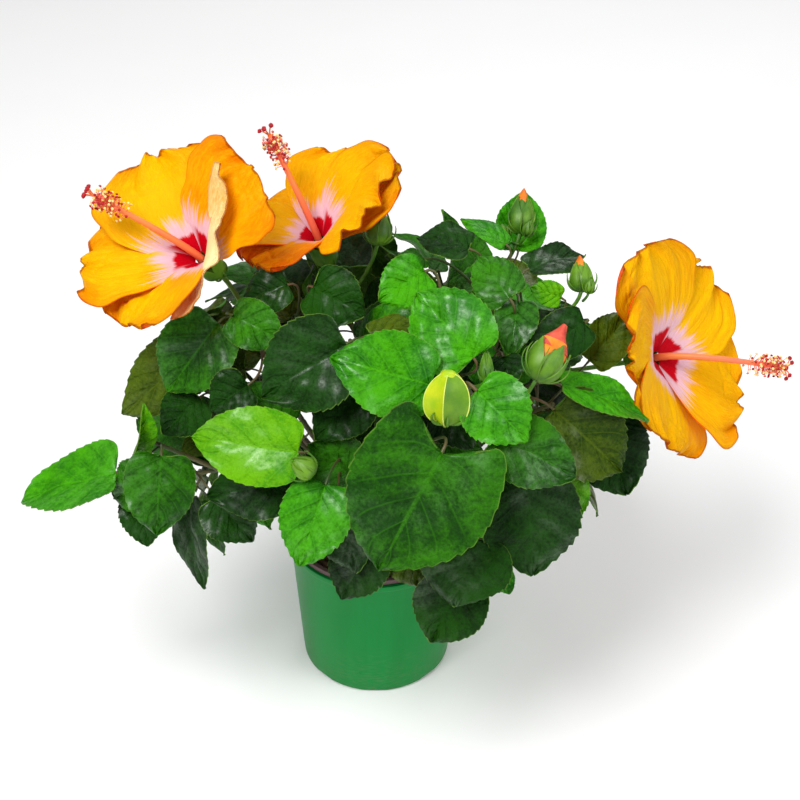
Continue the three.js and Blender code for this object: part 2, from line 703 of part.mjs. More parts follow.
function fits(leaf, mass, taken) {
  const points = leafSamples(leaf);
  const middle = bladePoint(leaf, 0.5, 0);
  return points.every((p) => crownShare(p) < 1 && p.z > FOLIAGE.lowest && clearOfPot(p))
    && nearest([middle], mass.spine) < mass.reach
    && nearest(points, around(taken.blades, middle)) > FOLIAGE.fromBlade
    && nearest(points, around(taken.wood, middle)) > FOLIAGE.fromLimb
    && runsClear(petioleCurve(leaf), taken);
}

// Where a showing leaf or bud is carried: the nearest place on the mass's shoots
function carrier(mass, at) {
  const places = mass.shoots.flatMap((shoot) => shoot.getSpacedPoints(CARRIER_STEPS).slice(1, -1));
  return places.reduce((best, place) => (place.distanceTo(at) < best.distanceTo(at) ? place : best));
}

function take(mass, leaf, taken) {
  mass.grown.push(leaf);
  taken.blades.push(...leafSamples(leaf));
  taken.wood.push(...curveSamples(petioleCurve(leaf)).slice(2));
}

// Limbs, then what shows most, then twigs, and last the leaves that fill each mass
function planMasses() {
  const taken = { blades: [], wood: curveSamples(trunkLine) };
  for (const mass of MASSES) {
    mass.bough = boughCurve(mass);
    mass.stem = stemCurve(mass, mass.bough);
    mass.spine = curveSamples(mass.stem);
    mass.random = seeded(mass.seed);
    mass.grown = [];
    taken.wood.push(...curveSamples(mass.bough), ...mass.spine);
    mass.shown = mass.showing.map(([base, tip, width, facing, more]) => (
      Object.assign(makeLeaf(vec(base), vec(tip), width, vec(facing), more), { shows: true })));
    for (const leaf of mass.shown) taken.blades.push(...leafSamples(leaf));
    for (const [base, tip] of mass.buds) {
      taken.blades.push(vec(base), vec(base).lerp(vec(tip), 0.5), vec(tip));
    }
  }
  for (const bloom of BLOOMS) {
    bloom.stalk = bloomStalk(bloom, MASSES.find((mass) => mass.name === bloom.shoot).stem);
    taken.blades.push(...bloomSamples(bloom));
    taken.wood.push(...curveSamples(bloom.stalk));
  }
  for (const mass of MASSES) {
    mass.shoots = [mass.stem];
    for (let i = 0; i < mass.twigs; i++) {
      const twig = sideTwig(mass, i);
      if (!runsClear(twig, taken)) continue;
      mass.shoots.push(twig);
      taken.wood.push(...curveSamples(twig).slice(1));
    }
  }
  for (const mass of MASSES) {
    for (const leaf of mass.shown) {
      leaf.root = carrier(mass, leaf.base.clone().addScaledVector(leaf.along, -PETIOLE.behind));
      mass.grown.push(leaf);
      taken.wood.push(...curveSamples(petioleCurve(leaf)).slice(2));
    }
    mass.budded = mass.buds.map(([base, tip, radius]) => (
      { base, tip, radius, root: carrier(mass, vec(base)) }));
    for (const bud of mass.budded) taken.wood.push(...curveSamples(budStalk(bud)).slice(2));
  }
  for (const mass of MASSES) fillMass(mass, taken);
}

// Leaves by the rule: up each shoot by the golden angle, skipped where one would not fit
function fillMass(mass, taken) {
  let angle = mass.seed;
  let left = mass.fill;
  for (const shoot of mass.shoots) {
    const places = Math.floor(shoot.getLength() / FOLIAGE.spacing);
    for (let i = 0; i <= places && left > 0; i++) {
      for (let attempt = 0; attempt < FOLIAGE.tries; attempt++) {
        angle += GOLDEN;
        const leaf = grownLeaf(shoot, mix(FOLIAGE.from, FOLIAGE.to, i / places), angle, mass.random);
        if (!fits(leaf, mass, taken)) continue;
        take(mass, leaf, taken);
        left -= 1;
        break;
      }
    }
  }
}

function massSolid(mass) {
  const pieces = mass.shoots.map((shoot, i) => (i === 0
    ? limb(shoot, taper(BOUGH.tipRadius, STEM.tipRadius), STEM.sides, STEM.steps)
    : limb(shoot, taper(TWIG.rootRadius, TWIG.tipRadius), TWIG.sides, TWIG.steps)));
  for (const leaf of mass.grown) pieces.push(leafSolid(leaf));
  for (const bud of mass.budded) pieces.push(...budSolid(bud));
  return whole(fuse(pieces));
}

// Pots and soil
function ringSolid(profile) {
  const points = profile.map(([r, z]) => new THREE.Vector2(r, z));
  const geometry = new THREE.LatheGeometry(points, SIDES);
  geometry.rotateX(Math.PI / 2);
  return solid(geometry);
}

function wallRadius(z) {
  return mix(POT.base, POT.rim, z / POT.height);
}

function potSolid() {
  const inner = (z) => wallRadius(z) - POT.wall;
  const profile = [
    [0, 0], [POT.base - POT.heel, 0], [POT.base, POT.heel],
    [wallRadius(POT.height - POT.lipHeight), POT.height - POT.lipHeight],
    [POT.rim + POT.lipOut, POT.height - POT.lipHeight], [POT.rim + POT.lipOut, POT.height],
    [inner(POT.height), POT.height], [inner(POT.floor), POT.floor], [0, POT.floor], [0, 0],
  ];
  let pot = ringSolid(profile);
  for (let i = 0; i < FEET.count; i++) {
    const arch = new THREE.CylinderGeometry(1, 1, FEET.reach * 2, FEET.facets);
    arch.scale(FEET.width / 2, 1, FEET.rise);
    arch.translate(0, -POT.base, 0);
    arch.rotateZ((i * 2 * Math.PI) / FEET.count);
    pot = pot.subtract(solid(arch));
  }
  return pot;
}

function linerSolid() {
  const outer = (z) => wallRadius(z) - POT.wall - GAP;
  const top = POT.height + LINER.lipAbove;
  const foot = POT.floor + GAP;
  const rim = outer(POT.height);
  return ringSolid([
    [0, foot], [outer(foot), foot], [rim, POT.height], [rim, POT.height + 1],
    [rim + LINER.lipOut, POT.height + 1], [rim + LINER.lipOut, top], [rim - LINER.wall, top],
    [outer(foot + LINER.floor) - LINER.wall, foot + LINER.floor], [0, foot + LINER.floor], [0, foot],
  ]);
}

function soilSolid() {
  const outer = (z) => wallRadius(z) - POT.wall - LINER.wall - 3 * GAP;
  const foot = POT.floor + LINER.floor + 2 * GAP;
  return ringSolid([[0, foot], [outer(foot), foot], [outer(SOIL_TOP), SOIL_TOP], [0, SOIL_TOP], [0, foot]]);
}

planMasses();
const plant = new THREE.Group();
plant.add(node('pot', potSolid(), COLOURS.pot, 0.45));
plant.add(node('inner_pot', linerSolid(), COLOURS.liner, 0.6));
plant.add(node('soil', soilSolid(), COLOURS.soil, 0.95));

const trunk = limb(trunkLine, trunkRadius, TRUNK.sides, TRUNK.steps);
const room = limb(trunkLine, (t) => trunkRadius(t) + TRUNK_GAP, TRUNK.sides, TRUNK.steps);
plant.add(node('trunk', trunk, COLOURS.bark, 0.85));
for (const mass of MASSES) {
  const bough = limb(mass.bough, taper(BOUGH.rootRadius, BOUGH.tipRadius), BOUGH.sides, BOUGH.steps);
  plant.add(node('bough_' + mass.name, whole(bough.subtract(room)), COLOURS.bark, 0.8));
  plant.add(node('mass_' + mass.name, massSolid(mass), COLOURS[mass.colour], 0.45));
}
for (const bloom of BLOOMS) {
  plant.add(node(bloom.name, bloomSolid(bloom), COLOURS.petal, 0.5));
}

export default plant;
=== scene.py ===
"""A potted hibiscus shrub in flower: its pots, compost, wood, leaves, buds and blooms.

The shrub grows here by the rule that its solids grew by, in millimetres, and is carried on to
finer twigs with smaller leaves inside the same reach. Then each mass of foliage, limb, pot and
bloom of the solids is replaced by what grew, built in metres.
"""
import logging
import math
from contextlib import contextmanager
from dataclasses import dataclass
from enum import Enum
from typing import Callable, ClassVar, Dict, Iterator, List, Optional, Sequence, Tuple, Union

import bpy
import numpy as np
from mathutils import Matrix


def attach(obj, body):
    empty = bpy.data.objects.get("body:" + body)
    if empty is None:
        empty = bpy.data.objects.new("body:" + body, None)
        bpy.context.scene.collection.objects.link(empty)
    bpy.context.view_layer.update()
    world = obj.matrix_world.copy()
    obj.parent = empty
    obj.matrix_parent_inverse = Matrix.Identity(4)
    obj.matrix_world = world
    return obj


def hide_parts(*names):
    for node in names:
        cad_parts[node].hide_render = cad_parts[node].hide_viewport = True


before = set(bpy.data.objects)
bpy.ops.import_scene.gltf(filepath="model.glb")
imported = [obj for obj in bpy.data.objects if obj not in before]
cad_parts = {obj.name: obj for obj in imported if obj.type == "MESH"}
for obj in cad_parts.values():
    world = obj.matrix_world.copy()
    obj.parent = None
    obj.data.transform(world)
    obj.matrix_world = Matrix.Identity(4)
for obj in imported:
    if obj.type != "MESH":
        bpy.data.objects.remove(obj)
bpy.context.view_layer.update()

LOG = logging.getLogger("shrub")
MM = 0.001
GOLDEN = math.radians(137.5)
Triple = Tuple[float, float, float]
Colour = Tuple[float, float, float, float]
Points = np.ndarray
Radius = Callable[[Points], Points]
Relief = Callable[[Points, Points], Points]


def ink(red: int, green: int, blue: int) -> Colour:
    """Turn a screen colour of 0 to 255 into the linear colour that a shader takes.

    Args:
        red: How red it is.
        green: How green it is.
        blue: How blue it is.

    Returns:
        The colour, with an alpha of 1.
    """
    def linear(part: int) -> float:
        """One channel of it."""
        share = part / 255
        return share / 12.92 if share <= 0.04045 else ((share + 0.055) / 1.055) ** 2.4
    return (linear(red), linear(green), linear(blue), 1.0)


def unit(vector: Points) -> Points:
    """Scale vectors to a length of one."""
    return vector / np.maximum(np.linalg.norm(vector, axis=-1, keepdims=True), 1e-12)


def mix(first: float, second: float, share: float) -> float:
    """Go from one number to another by a share."""
    return first + (second - first) * share


def turned_about(vector: Points, axis: Points, angle: float) -> Points:
    """Turn a vector about a unit axis.

    Args:
        vector: The vector to turn.
        axis: The axis, of length one.
        angle: The angle in radians.

    Returns:
        The turned vector.
    """
    return (vector * math.cos(angle) + np.cross(axis, vector) * math.sin(angle)
            + axis * np.dot(axis, vector) * (1 - math.cos(angle)))


def smooth(low: float, high: float, value: Points) -> Points:
    """Rise softly from 0 at low to 1 at high."""
    share = np.clip((value - low) / (high - low), 0, 1)
    return share * share * (3 - 2 * share)


def around(count: int) -> Points:
    """Evenly spaced angles of one full turn."""
    return np.linspace(0, math.tau, count, endpoint=False)


def grid(along: Sequence[float], across: Sequence[float]) -> List[Points]:
    """Places along and across, each as a table with rows along and columns across."""
    return np.meshgrid(along, across, indexing="ij")


def sideways(ahead: Points, angle: float) -> Points:
    """A direction square to another one, at an angle round it."""
    return turned_about(unit(np.cross([1.0, 0, 0], ahead)), ahead, angle)


def normals_of(points: Points) -> Points:
    """Unit normals of a grid of points."""
    return unit(np.cross(np.gradient(points, axis=0), np.gradient(points, axis=1)))


def tapered(root: float, tip: float) -> Radius:
    """A radius that goes evenly from root to tip."""
    return lambda share: root + (tip - root) * share


class Seeded:
    """The same numbers on every machine, from a seed."""

    def __init__(self, seed: int) -> None:
        """Start from a seed."""
        self.state = seed & 0xFFFFFFFF

    def __call__(self) -> float:
        """Draw the next number from 0 to 1."""
        whole = 0xFFFFFFFF
        self.state = (self.state + 0x6D2B79F5) & whole
        t = ((self.state ^ (self.state >> 15)) * (self.state | 1)) & whole
        t = ((t + (((t ^ (t >> 7)) * (t | 61)) & whole)) & whole) ^ t
        return ((t ^ (t >> 14)) & whole) / 4294967296

    def between(self, low: float, high: float) -> float:
        """Draw a number between two others."""
        return low + (high - low) * self()

    def above(self, least: float, more: float) -> float:
        """Draw a number from the least to so much more."""
        return least + more * self()


class Curve:
    """A Bezier curve that is read by shares of its own length."""

    SHARES = np.linspace(0, 1, 201)
    STEP = 0.0001
    SAMPLE_GAP = 4

    def __init__(self, *controls: Sequence[float]) -> None:
        """Keep the control points and measure the curve."""
        self.controls = np.array(controls, float)
        steps = np.linalg.norm(np.diff(self._raw(self.SHARES), axis=0), axis=1)
        self.lengths = np.concatenate([[0.0], np.cumsum(steps)])
        self.length = float(self.lengths[-1])

    def _raw(self, t: Points) -> Points:
        """Points at the curve's own parameter."""
        t = np.atleast_1d(np.asarray(t, float))[:, None]
        last = len(self.controls) - 1
        made = np.zeros((len(t), 3))
        for i, control in enumerate(self.controls):
            made += math.comb(last, i) * (1 - t) ** (last - i) * t ** i * control
        return made

    def _parameter(self, share: Union[float, Points]) -> Points:
        """The curve's own parameter at shares of its length."""
        return np.interp(np.atleast_1d(share) * self.length, self.lengths, self.SHARES)

    def at(self, share: Union[float, Points]) -> Points:
        """Points at one share of the length or many."""
        made = self._raw(self._parameter(share))
        return made[0] if np.isscalar(share) else made

    def ahead(self, share: Union[float, Points]) -> Points:
        """The way that the curve runs at one share of the length or many."""
        t = self._parameter(share)
        before, after = np.maximum(t - self.STEP, 0), np.minimum(t + self.STEP, 1)
        made = unit(self._raw(after) - self._raw(before))
        return made[0] if np.isscalar(share) else made

    def spaced(self, count: int) -> Points:
        """Points that cut the curve into equal lengths."""
        return self.at(np.linspace(0, 1, count + 1))

    def samples(self) -> Points:
        """Points about 4 mm apart."""
        return self.spaced(max(1, math.ceil(self.length / self.SAMPLE_GAP)))


class Tone(Enum):
    """How light and yellow a leaf's green is."""

    BRIGHT = 0
    LIME = 1
    MID = 2
    # A deeper green; it also serves as painted shade for free leaves inside the crown.
    DARK = 3
    OLIVE = 4


class Facing(Enum):
    """Which way a leaf's upper face looks."""

    UP = (0, -0.15, 1)
    FRONT = (0, -0.8, 0.6)
    LEFT = (-0.7, -0.35, 0.65)


class BudForm(Enum):
    """What a bud has come to."""

    CLOSED = "closed"
    TIPPED = "tipped"
    FURLED = "furled"
    FACETED = "faceted"


class PetalTone(Enum):
    """Which of the petals' finishes one takes."""

    GOLD = 0
    ORANGE = 1
    CREAM = 2


@dataclass(frozen=True)
class Showing:
    """A leaf that shows: foot, tip, width in mm, upper face, tone and size of its foot lobes."""

    base: Triple
    tip: Triple
    width: float
    facing: Facing
    tone: Tone
    lobe: float = 0.07


@dataclass(frozen=True)
class Bud:
    """A bud: foot, tip, widest radius and form, and how many small ones stand round its foot."""

    base: Triple
    tip: Triple
    radius: float
    form: BudForm = BudForm.CLOSED
    cluster: int = 0

    @property
    def ends(self) -> Tuple[Points, Points]:
        """Its foot and tip."""
        return np.array(self.base, float), np.array(self.tip, float)

    @property
    def axis(self) -> Points:
        """The way that it points."""
        return unit(self.ends[1] - self.ends[0])


@dataclass(frozen=True)
class Mass:
    """A mass of foliage: height is its bough's on the trunk, start and end are its stem's."""

    name: str
    tone: Tone
    seed: int
    height: float
    start: Triple
    end: Triple
    reach: float
    fill: int
    twigs: int
    showing: Tuple[Showing, ...] = ()
    buds: Tuple[Bud, ...] = ()


@dataclass(frozen=True)
class Young:
    """A young leaf folded along its midrib: mass, foot, tip and width, upper face and tone."""

    mass: str
    base: Triple
    tip: Triple
    width: float
    facing: Triple
    tone: Tone
    fold: float = 52


@dataclass(frozen=True)
class Petal:
    """A petal: length and width in mm, extra opening at its rim and turn in degrees, and its looks.

    Roll is how much of its rim is rolled in. Lean is added to the opening and the turn where it is
    drawn, and aside moves it across by a share of its half width.
    """

    length: float
    width: float
    extra: float = 0
    shift: float = 0
    tone: PetalTone = PetalTone.GOLD
    ruffle: float = 1
    roll: float = 0
    lean: Tuple[float, float] = (0.0, 0.0)
    aside: float = 0
    spread: float = 1


@dataclass(frozen=True)
class Bloom:
    """An open bloom: its throat and axis, the way and length of its column, and its petals."""

    name: str
    shoot: str
    throat: Triple
    axis: Triple
    column: Triple
    column_length: float
    turn: float
    flare: float
    petals: Tuple[Petal, ...]
    lap: float = 1


# Name, mass that bears it, throat, axis, column's way and length, turn, flare, petals and lap
BLOOMS = (
    Bloom(
        "bloom_left", "left_high", (-112, -27, 374), (-0.46, -0.42, 0.79), (-0.8, -0.04, 0.6),
        82, -35, 38,
        (
            Petal(80, 84, 4, 14, PetalTone.ORANGE, 1.6, roll=0.2), Petal(79, 90, 0, 22),
            Petal(80, 84, 6, 21), Petal(74, 86, 0, 19, lean=(0, -9)),
            Petal(76, 96, -43, 44, PetalTone.CREAM, 0.9, 0.9, (19, -12), -0.06),
        ),
    ),
    Bloom(
        "bloom_top", "mid", (-36, 7, 368), (-0.25, -0.16, 0.92), (-0.39, 0.16, 0.91),
        80, -31, 38,
        (
            Petal(78, 72, -10, 4), Petal(65, 66, 0, -14), Petal(54, 72, 10, 12),
            Petal(57, 68, 10, 6, PetalTone.ORANGE),
            Petal(75, 70, -14, 18, ruffle=1.2, roll=0.3, lean=(0, 6), aside=0.4),
        ),
    ),
    Bloom(
        "bloom_right", "right_back", (196, -20, 290), (0.75, -0.43, 0.47), (0.97, -0.2, 0.04),
        88, -11, 57,
        (
            Petal(80, 92, 6, 4), Petal(76, 88, -4, -4, lean=(0, 8)),
            Petal(71, 88, 4, -12, lean=(0, 9), spread=1.12),
            Petal(78, 84, -3, 8, spread=1.12), Petal(78, 92, 3, 19, ruffle=1.3),
        ),
        -0.6,
    ),
)

BRIGHT, LIME, MID, DARK, OLIVE = Tone
UP, FRONT, LEFT = Facing


def showing(*rows: Tuple) -> Tuple[Showing, ...]:
    """Leaves that show, from rows of foot, tip, width, upper face, tone and, at times, lobe."""
    return tuple(Showing(row[:3], row[3:6], *row[6:]) for row in rows)


# Name, tone, seed, height on the trunk, the stem's start and end, reach, most leaves, twigs
MASSES = (
    Mass("left_low", MID, 11, 14, (-80, -42, 190), (-150, -78, 262), 70, 6, 2, showing(
        (-175, -80, 235, -245, -75, 205, 62, UP, BRIGHT),
        (-140, -95, 262, -145, -118, 212, 50, FRONT, MID),
        (-148, -90, 240, -178, -84, 216, 40, FRONT, MID),
        (-160, -78, 218, -155, -102, 188, 34, FRONT, DARK),
        (-125, -88, 220, -115, -120, 165, 40, LEFT, DARK),
        (-105, -105, 235, -80, -120, 208, 40, FRONT, DARK),
    )),
    Mass("left_high", OLIVE, 12, 40, (-45, -20, 225), (-80, -32, 322), 80, 4, 2, showing(
        (-110, -45, 320, -170, -60, 270, 48, FRONT, OLIVE),
        (-100, -60, 345, -135, -75, 300, 52, FRONT, MID),
        (-90, -62, 352, -55, -78, 342, 34, FRONT, MID),
        (-55, -40, 362, -85, -42, 350, 30, FRONT, DARK),
        (-80, -88, 315, -105, -95, 300, 36, FRONT, DARK),
        (-115, -70, 292, -140, -82, 270, 36, FRONT, DARK),
    )),
    Mass("left_front", LIME, 13, 24, (-32, -50, 195), (-55, -100, 285), 60, 4, 1, showing(
        (-45, -140, 300, -115, -120, 297, 52, FRONT, LIME),
        (-50, -130, 268, -108, -122, 250, 44, FRONT, DARK),
    ), buds=(Bud((-35, -151, 291), (-49, -150, 302), 7),)),
    Mass("top_left", DARK, 14, 52, (-10, -20, 235), (-14, -58, 330), 70, 5, 2, showing(
        (-38, -46, 364, -4, -60, 350, 42, FRONT, DARK),
        (-15, -95, 352, -70, -106, 318, 62, FRONT, DARK),
        (0, -82, 350, 35, -72, 352, 24, UP, OLIVE),
    )),
    Mass("mid", DARK, 15, 58, (-4, 14, 240), (-24, 14, 318), 70, 5, 2,
         buds=(Bud((4, -14, 376), (6, 2, 398), 8, BudForm.TIPPED),)),
    Mass("centre", BRIGHT, 16, 50, (24, -40, 230), (42, -85, 325), 70, 5, 2, showing(
        (35, -50, 378, 5, -66, 366, 36, FRONT, BRIGHT),
        (65, -115, 355, 30, -78, 380, 56, FRONT, BRIGHT),
        (38, -130, 345, -25, -110, 352, 56, FRONT, BRIGHT),
        (60, -86, 345, 30, -100, 330, 34, FRONT, DARK),
        (45, -97, 308, 66, -116, 284, 36, FRONT, DARK),
        (28, -102, 306, 4, -118, 286, 34, FRONT, DARK),
    ), buds=(Bud((48, -148, 328), (49, -139, 364), 13, BudForm.FACETED),
             Bud((73, -127, 345), (73, -111, 358), 4))),
    Mass("front_left", MID, 17, 14, (-16, -55, 190), (-18, -102, 270), 60, 3, 1, showing(
        (-28, -150, 282, -45, -175, 235, 47, FRONT, BRIGHT),
        (-20, -140, 262, -10, -156, 212, 40, FRONT, DARK),
        (-5, -95, 318, -36, -114, 290, 42, FRONT, DARK),
        (-12, -118, 262, -41, -110, 284, 44, FRONT, MID),
    )),
    Mass("front", MID, 18, 22, (14, -58, 190), (34, -108, 285), 60, 3, 1, showing(
        (45, -158, 314, 5, -185, 240, 96, FRONT, MID, 0.22),
        (0, -142, 228, -20, -155, 188, 42, FRONT, DARK),
        (22, -140, 222, 32, -152, 196, 32, FRONT, OLIVE),
    )),
    Mass("front_low", DARK, 19, 12, (38, -56, 172), (62, -112, 225), 60, 3, 1, showing(
        (65, -160, 245, 55, -175, 200, 62, FRONT, DARK),
        (60, -150, 205, 40, -165, 158, 52, FRONT, DARK),
        (84, -145, 208, 92, -150, 188, 16, FRONT, BRIGHT),
    )),
    Mass("front_right", MID, 20, 42, (48, -42, 205), (85, -100, 290), 60, 4, 2, showing(
        (100, -145, 282, 105, -165, 218, 68, FRONT, DARK),
        (125, -118, 268, 130, -136, 232, 34, FRONT, LIME),
        (78, -145, 318, 130, -150, 288, 46, FRONT, MID),
        (66, -140, 348, 98, -155, 320, 46, FRONT, BRIGHT),
        (85, -92, 340, 90, -110, 328, 24, FRONT, DARK),
    ), buds=(Bud((104, -120, 341), (122, -94, 363), 11, BudForm.FURLED),)),
    Mass("right", OLIVE, 21, 34, (62, -20, 205), (122, -68, 285), 65, 2, 2, showing(
        (118, -108, 310, 165, -112, 262, 58, FRONT, OLIVE),
        (122, -104, 326, 182, -98, 293, 34, UP, BRIGHT),
        (152, -76, 275, 172, -102, 234, 56, FRONT, DARK),
        (145, -60, 315, 175, -25, 330, 32, FRONT, OLIVE),
    )),
    Mass("right_high", DARK, 22, 46, (58, 2, 225), (112, -38, 325), 65, 2, 2, showing(
        (140, -60, 345, 100, -80, 332, 34, FRONT, DARK),
        (125, -45, 355, 105, -40, 360, 18, FRONT, LIME),
        (105, -20, 362, 145, 0, 360, 32, UP, DARK),
    ), buds=(Bud((139, -43, 358), (138, -26, 374), 7, BudForm.TIPPED, 1),)),
    Mass("top", BRIGHT, 23, 52, (32, 8, 240), (80, 2, 335), 70, 2, 2, showing(
        (100, 10, 358, 105, 45, 385, 36, FRONT, BRIGHT),
        (90, -5, 372, 60, 15, 380, 20, UP, BRIGHT),
        (65, -18, 376, 30, -8, 378, 38, UP, DARK),
        (35, -18, 368, 15, -28, 368, 22, UP, MID),
        (90, -62, 365, 70, -35, 380, 34, FRONT, MID),
        (96, -55, 358, 90, -85, 336, 30, FRONT, MID),
    ), buds=(Bud((101, 15, 368), (104, 37, 389), 8, BudForm.TIPPED, 3),)),
    Mass("right_back", MID, 24, 28, (62, 24, 200), (128, 6, 258), 70, 6, 3),
    Mass("right_low", DARK, 25, 12, (66, 4, 165), (118, -16, 205), 65, 5, 2),
    Mass("back_right", MID, 26, 42, (36, 46, 220), (64, 82, 282), 85, 8, 3),
    Mass("back", MID, 27, 20, (4, 56, 190), (2, 118, 255), 85, 8, 3),
    Mass("back_left", MID, 45, 46, (-36, 44, 220), (-54, 76, 282), 85, 9, 3),
    Mass("left_back", MID, 29, 30, (-60, 20, 200), (-110, 36, 256), 80, 8, 3),
    Mass("back_low_left", DARK, 30, 12, (-50, 34, 165), (-100, 70, 205), 70, 6, 2),
    Mass("back_low_right", DARK, 31, 18, (48, 44, 165), (92, 78, 205), 70, 5, 2,
    ),
)

YOUNG = (
    Young("left_low", (-162, -80, 251), (-151, -80, 295), 26, (0.7, -0.7, 0.1), LIME),
    Young("left_low", (-84, -105, 230), (-102, -105, 210), 16, (-0.3, -0.7, 0.6), LIME),
)


class Camera:
    """The viewing angle of the picture, 36 degrees above the level and about 1.2 m away."""

    TARGET = np.array([19.0, 0.0, 239.0])
    ELEVATION = math.radians(36)
    DISTANCE = 1200.0
    SIDE = 800  # the picture's, in pixels
    FOCAL = 1663.0  # in the same pixels
    SENSOR = 36.0

    def __init__(self) -> None:
        """Work out where the camera stands."""
        sine, cosine = math.sin(self.ELEVATION), math.cos(self.ELEVATION)
        self.ahead = np.array([0, cosine, -sine])
        self.up = np.array([0, sine, cosine])
        self.place = self.TARGET - self.ahead * self.DISTANCE

    def seen(self, points: Points) -> Points:
        """Where points fall in the picture, in pixels from its top left corner."""
        away = points - self.place
        depth = away @ self.ahead
        middle = self.SIDE / 2
        return np.stack([middle + self.FOCAL * away[:, 0] / depth,
                         middle - self.FOCAL * (away @ self.up) / depth], 1)

    def build(self) -> None:
        """Add the camera and make it the scene's own."""
        bpy.ops.object.camera_add(location=tuple(self.place * MM),
                                  rotation=(math.pi / 2 - self.ELEVATION, 0, 0))
        camera = bpy.context.object
        camera.name = "camera"
        camera.data.sensor_width = self.SENSOR
        camera.data.lens = self.SENSOR * self.FOCAL / self.SIDE
        camera.data.clip_start = 0.01
        bpy.context.scene.camera = camera


# Openings in the crown where the sky shows: left, top, right and bottom in the picture
SKY = (
    (322, 302, 356, 346), (230, 346, 256, 380), (300, 396, 322, 430), (424, 254, 457, 274),
    (461, 356, 479, 379), (477, 416, 492, 436), (583, 362, 618, 403), (190, 398, 208, 414),
)


class Leaf:
    """A leaf's frame and sizes: arch and lobe are shares of its length, fold is in degrees."""

    ALONG = (0.02, 0.11, 0.2, 0.3, 0.4, 0.5, 0.6, 0.7, 0.8, 0.9, 0.99)
    ACROSS = (-1, -0.67, -0.33, 0, 0.33, 0.67, 1)

    def __init__(self, base: Sequence[float], tip: Sequence[float], width: float,
                 facing: Sequence[float], arch: float = 0.06, fold: float = 12,
                 lobe: float = 0.07) -> None:
        """Work out the leaf's own directions.

        Args:
            base: The foot of the blade.
            tip: The tip of the blade.
            width: The width at the widest place.
            facing: Which way the upper face looks.
            arch: How far the middle rises above the straight line.
            fold: How far each half is raised.
            lobe: How far the foot's lobes reach back.
        """
        self.base, self.tip = np.array(base, float), np.array(tip, float)
        self.length = float(np.linalg.norm(self.tip - self.base))
        self.along = (self.tip - self.base) / self.length
        facing = np.array(facing, float)
        self.normal = unit(facing - self.along * np.dot(facing, self.along))
        self.across = np.cross(self.normal, self.along)
        self.width, self.arch, self.fold, self.lobe = width, arch, math.radians(fold), lobe
        self.root = self.base
        self.tone = Tone.MID
        self.shows = False
        self.grade = 0

    @staticmethod
    def half_width(t: Points) -> Points:
        """Half the width at shares of the length: full near the foot, drawn out to the tip."""
        swell = np.maximum(0, np.sin(np.pi * np.asarray(t, float) ** 0.62))
        return swell ** (0.7 + 0.6 * t) / 2

    def blade(self, t: Points, u: Points, soft: float = 0.0, full: float = 0.0) -> Points:
        """Points of the blade's middle surface.

        Args:
            t: Shares of the length from foot to tip.
            u: Places across from -1 to 1, of the same shape as t.
            soft: How round the fold along the midrib is.
            full: How far the outline goes from a drawn-out one to a rounder one.

        Returns:
            The points, with one more axis for x, y and z.
        """
        rounder = np.maximum(0, np.sin(np.pi * np.asarray(t, float) ** 0.74)) ** (0.5 + 0.3 * t) / 2
        half = self.width * (self.half_width(t) * (1 - full) + rounder * full)
        side = np.sqrt(u * u + soft * soft) - soft
        reach = 0.06 + 0.06 * full
        lobe = self.lobe * (1 + 0.6 * full) * np.abs(u) * (t / reach) * np.exp(1 - t / reach)
        out = u * half * math.cos(self.fold)
        rise = side * half * math.sin(self.fold) + self.arch * self.length * 4 * t * (1 - t)
        return (self.base + self.along * (self.length * (t - lobe))[..., None]
                + self.across * out[..., None] + self.normal * rise[..., None])

    def samples(self) -> Points:
        """Points all over the blade."""
        t, u = grid(self.ALONG, self.ACROSS)
        return self.blade(t, u).reshape(-1, 3)

    def stalk(self) -> Curve:
        """The stalk, from where it leaves its shoot to the foot of the blade."""
        reach = float(np.linalg.norm(self.root - self.base))
        return Curve(self.root, self.base - self.along * 0.3 * reach, self.base)


